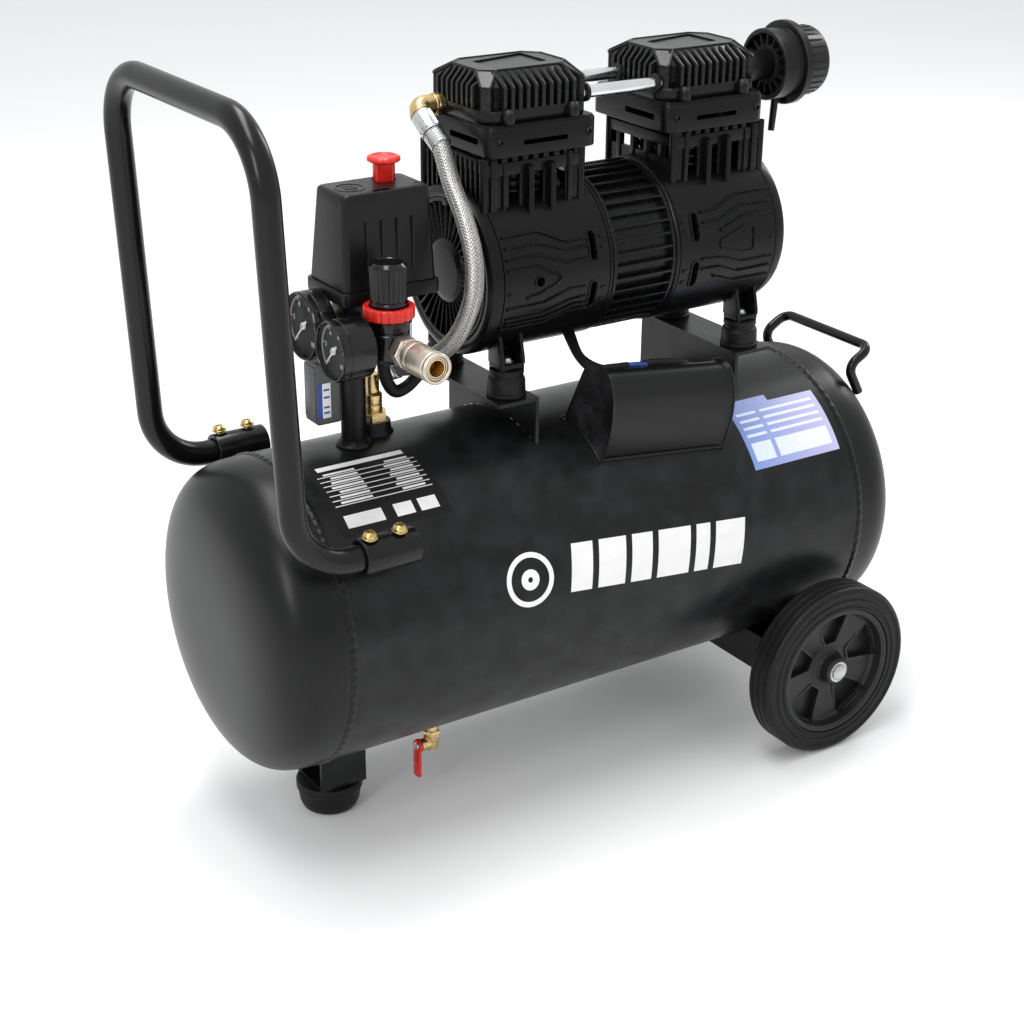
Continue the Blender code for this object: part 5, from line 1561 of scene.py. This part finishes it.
def make_capacitor_cover():
    low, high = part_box("capacitor_cover")
    line = [Vector((0, y, z)) for y, z in SHROUD_SECTION[:2]]
    line += smooth_path([(0, y, z) for y, z in SHROUD_SECTION[1:]], 5)[1:]
    normals = []
    for i in range(len(line)):
        way = (line[min(i + 1, len(line) - 1)] - line[max(i - 1, 0)]).normalized()
        normals.append(Vector((0, -way.z, way.y)))
    half, length = 0.00075, high.x - low.x

    def outline(x, inset):
        lean = Vector((x, 0, 0)) + SHROUD_SKEW * ((x - low.x) / length)
        return [point - normal * inset + lean for point, normal in zip(line, normals)]

    folds = [(0.0002, 0.0062), (0.0006, 0.0044), (0.0018, 0.0024), (0.0036, 0.001), (0.0062, 0.0002),
             (0.0085, 0.0)]
    stages = [(low.x + x, inset) for x, inset in folds]
    stages += [(high.x - x, inset * 0.45) for x, inset in folds[::-1]]
    rings = [outline(x, inset - half) + outline(x, inset + half)[::-1] for x, inset in stages]
    cover = Shape().loft(rings)
    cover.loft([outline(low.x + 0.0002, 0.0056), outline(low.x + 0.0016, 0.0056)])
    cover.tube(outline(high.x - 0.0006, 0.0028), 0.0009, 10)
    put(cover, "capacitor_shroud", "cover_coat", "capacitor_cover")

    left = outline(low.x + 0.001, 0.002)
    right = outline(high.x - 0.001, 0.0004)
    heel, toe, tip = tank_foot(left[0]), tank_foot(left[-1]), tank_foot(right[-1])
    across_end = [tank_foot(heel.lerp(toe, i / 12)) for i in range(13)]
    along_front = [toe.lerp(tip, i / 30) for i in range(1, 31)]
    rim = Shape()
    rim.tube(across_end + along_front, 0.0017, 12)
    put(rim, "shroud_flange", "cover_coat")
    lump = Shape().turn([(0, -0.002), (0.003, -0.0012), (0.0034, 0.0006), (0.0022, 0.0024), (0, 0.003)],
                        aim(heel + Vector((-0.0045, 0.001, 0.0006)), (0, -0.35, 1)), 20, 0.0006)
    seam = [tip.lerp(tank_foot(right[0]), i / 24) for i in range(3)]
    put(weld_line(lump, seam, 0.0014), "shroud_weld", "coat")

    centre = Vector((0, -0.066, 0.333))
    can = Shape().turn([(0, 0.013), (0.0165, 0.013), (0.0171, 0.0137), (0.0171, 0.106), (0.0165, 0.107),
                        (0, 0.107)], aim(centre, Vector((length, SHROUD_SKEW.y, SHROUD_SKEW.z))), 72, 0.0006)
    put(can, "capacitor_can", "plastic")
    dark = Shape()
    route = [(0.013, -0.006, 0.388), (0.0096, -0.02, 0.378), (0.006, -0.042, 0.3655),
             (0.008, -0.059, 0.36), (0.02, -0.064, 0.3602), (0.038, -0.0645, 0.3588)]
    dark.tube(smooth_path(route, 10), 0.0032, 20)
    route = [(0.018, -0.006, 0.388), (0.015, -0.02, 0.376), (0.0115, -0.038, 0.364),
             (0.017, -0.056, 0.359), (0.03, -0.061, 0.358), (0.044, -0.061, 0.356)]
    dark.tube(smooth_path(route, 10), 0.0026, 20)
    route = [(0.052, -0.061, 0.3545), (0.06, -0.065, 0.3568), (0.072, -0.069, 0.3565),
             (0.086, -0.07, 0.354), (0.098, -0.069, 0.3485)]
    dark.tube(smooth_path(route, 10), 0.0036, 20)
    put(dark, "capacitor_leads", "rubber")
    blue = Shape().tube(smooth_path([(0.033, -0.0645, 0.359), (0.042, -0.065, 0.3588),
                                     (0.05, -0.0655, 0.3578), (0.057, -0.065, 0.3555),
                                     (0.062, -0.062, 0.352)], 8), 0.0024, 16)
    put(blue, "capacitor_wire_blue", "blue", slot="black_rubber")


def make_motor_lead():
    route = [(*GLAND_SPOT, 0.4372), (-0.149, 0.002, 0.415), (-0.1492, 0.001, 0.388),
             (-0.148, 0.0, 0.366), (-0.14, 0.0, 0.352), (-0.129, 0.0, 0.353),
             (-0.118, 0.0, 0.361), (-0.108, 0.0, 0.369), (-0.098, 0.0, 0.3735), (-0.09, 0.0, 0.3755)]
    path = even(smooth_path(route, 8), 0.0006)
    lead = Shape().tube(path, 0.005, 32, swell=lambda u, d: 1 + 0.03 * math.sin(d * math.tau / 0.0024))
    put(lead, "motor_lead_sleeve", "rubber", "motor_lead")


def make_drain():
    x, y, hub_z = -0.127, -0.03, 0.0475
    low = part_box("drain_valve")[0].z
    place = shift(x, y, low)
    body = Shape().turn([(0, 0), (0.005, 0), (0.006, 0.0008), (0.006, 0.0088), (0.0068, 0.0096),
                         (0.0068, 0.0112), (0, 0.0112)], place, 48, 0.0003)
    body.turn(rod(0.0076, 0.0108, 0.0176), place, 6, 0.0004)
    body.turn(rod(0.0062, 0.017, 0.0228), place, 48, 0.0003)
    body.turn(rod(0.0055, 0.001, 0.0108), aim((x, y, hub_z), LEFT), 40, 0.0004)
    put(body, "drain_body", "brass", "drain_valve")
    low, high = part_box("drain_lever")
    hub_x = high.x
    lever = Shape().turn(rod(0.0062, 0, 0.003), aim((hub_x, y, hub_z), LEFT), 56, 0.0006)
    outline = [(-0.0048, -0.0285), (0.0048, -0.0285), (0.0048, -0.006), (0.003, -0.002),
               (-0.003, -0.002), (-0.0048, -0.006)]
    turn = Matrix(((0, 0, -1, hub_x), (1, 0, 0, y), (0, 1, 0, hub_z), (0, 0, 0, 1)))
    lever.prism(outline, 0.001, 0.0038, turn, 0.0007, 0.0018, 3)
    put(lever, "drain_handle", "red", "drain_lever", "drain_lever")
    screw = Shape().absorb(pan_head(0.0034, 0.0012), aim((hub_x - 0.0028, y, hub_z), LEFT, 0.6))
    put(screw, "drain_screw", "zinc", body="drain_lever")


# Stage, light and camera


def make_stage():
    floor = bpy.data.meshes.new("floor")
    floor.from_pydata([(-30, -30, -0.0005), (30, -30, -0.0005), (30, 30, -0.0005), (-30, 30, -0.0005)], [],
                      [(0, 1, 2, 3)])
    made = add_object("floor", floor)
    kit = Nodes("floor_pale")
    kit.feed(Base_Color=(0.9, 0.9, 0.9, 1), Roughness=0.85)
    kit.shader.inputs["Specular IOR Level"].default_value = 0.1
    floor.materials.append(kit.material)
    world = bpy.data.worlds.new("studio")
    world.use_nodes = True
    world.node_tree.nodes["Background"].inputs["Color"].default_value = (0.98, 0.99, 1.0, 1)
    world.node_tree.nodes["Background"].inputs["Strength"].default_value = 0.86
    bpy.context.scene.world = world
    bpy.context.scene.view_settings.view_transform = "Standard"


def softbox(name, place, target, width, height, power, tone=(1, 1, 1)):
    light = bpy.data.lights.new(name, "AREA")
    light.shape, light.size, light.size_y = "RECTANGLE", width, height
    light.energy, light.color = power, tone
    made = add_object(name, light)
    turn = (Vector(place) - Vector(target)).to_track_quat("Z", "Y").to_matrix().to_4x4()
    made.matrix_world = Matrix.Translation(place) @ turn


def make_lights():
    softbox("overhead", (-0.25, 0.2, 2.3), (0, 0, 0.2), 2.4, 0.55, 36)
    softbox("front_left", (-2.4, -1.3, 1.7), (0, 0, 0.3), 0.45, 1.3, 20)
    softbox("back_right", (2.5, 0.5, 1.9), (0, 0, 0.35), 0.5, 1.2, 18)


def make_camera():
    yaw, down, roll = -0.5852, 0.414, 0.0096
    back = Vector((math.sin(yaw) * math.cos(down), -math.cos(yaw) * math.cos(down), math.sin(down)))
    right = Vector((math.cos(yaw), math.sin(yaw), 0))
    up = back.cross(right)
    side = right * math.cos(roll) + up * math.sin(roll)
    top = up * math.cos(roll) - right * math.sin(roll)
    lens = bpy.data.cameras.new("camera")
    lens.lens, lens.sensor_width, lens.clip_start = 68.6, 36.0, 0.02
    made = add_object("camera", lens)
    turn = Matrix((side, top, back)).transposed().to_4x4()
    made.matrix_world = shift(-0.8535, -1.2449, 0.8788) @ turn
    bpy.context.scene.camera = made


make_camera()
make_stage()
make_lights()
make_tank()
make_tank_print()
make_handle()
make_bail()
make_foot()
make_bracket_welds()
make_wheels()
make_supports()
make_stator()
for end, side in SIDES.items():
    make_crankcase(end, side)
    make_end_grille(end, side)
    make_valve_plate(end, side)
    make_head_cover(end)
make_head_tubes()
make_filter()
make_elbow_and_hose()
make_check_valve()
make_standpipe()
make_safety_valve()
make_switch()
make_regulator()
make_coupler()
make_gauge("tank", ("0", "2", "4", "6", "8", "10"))
make_gauge("outlet", ("0", "2", "4", "6", "8", "10"))
make_capacitor_cover()
make_motor_lead()
make_drain()
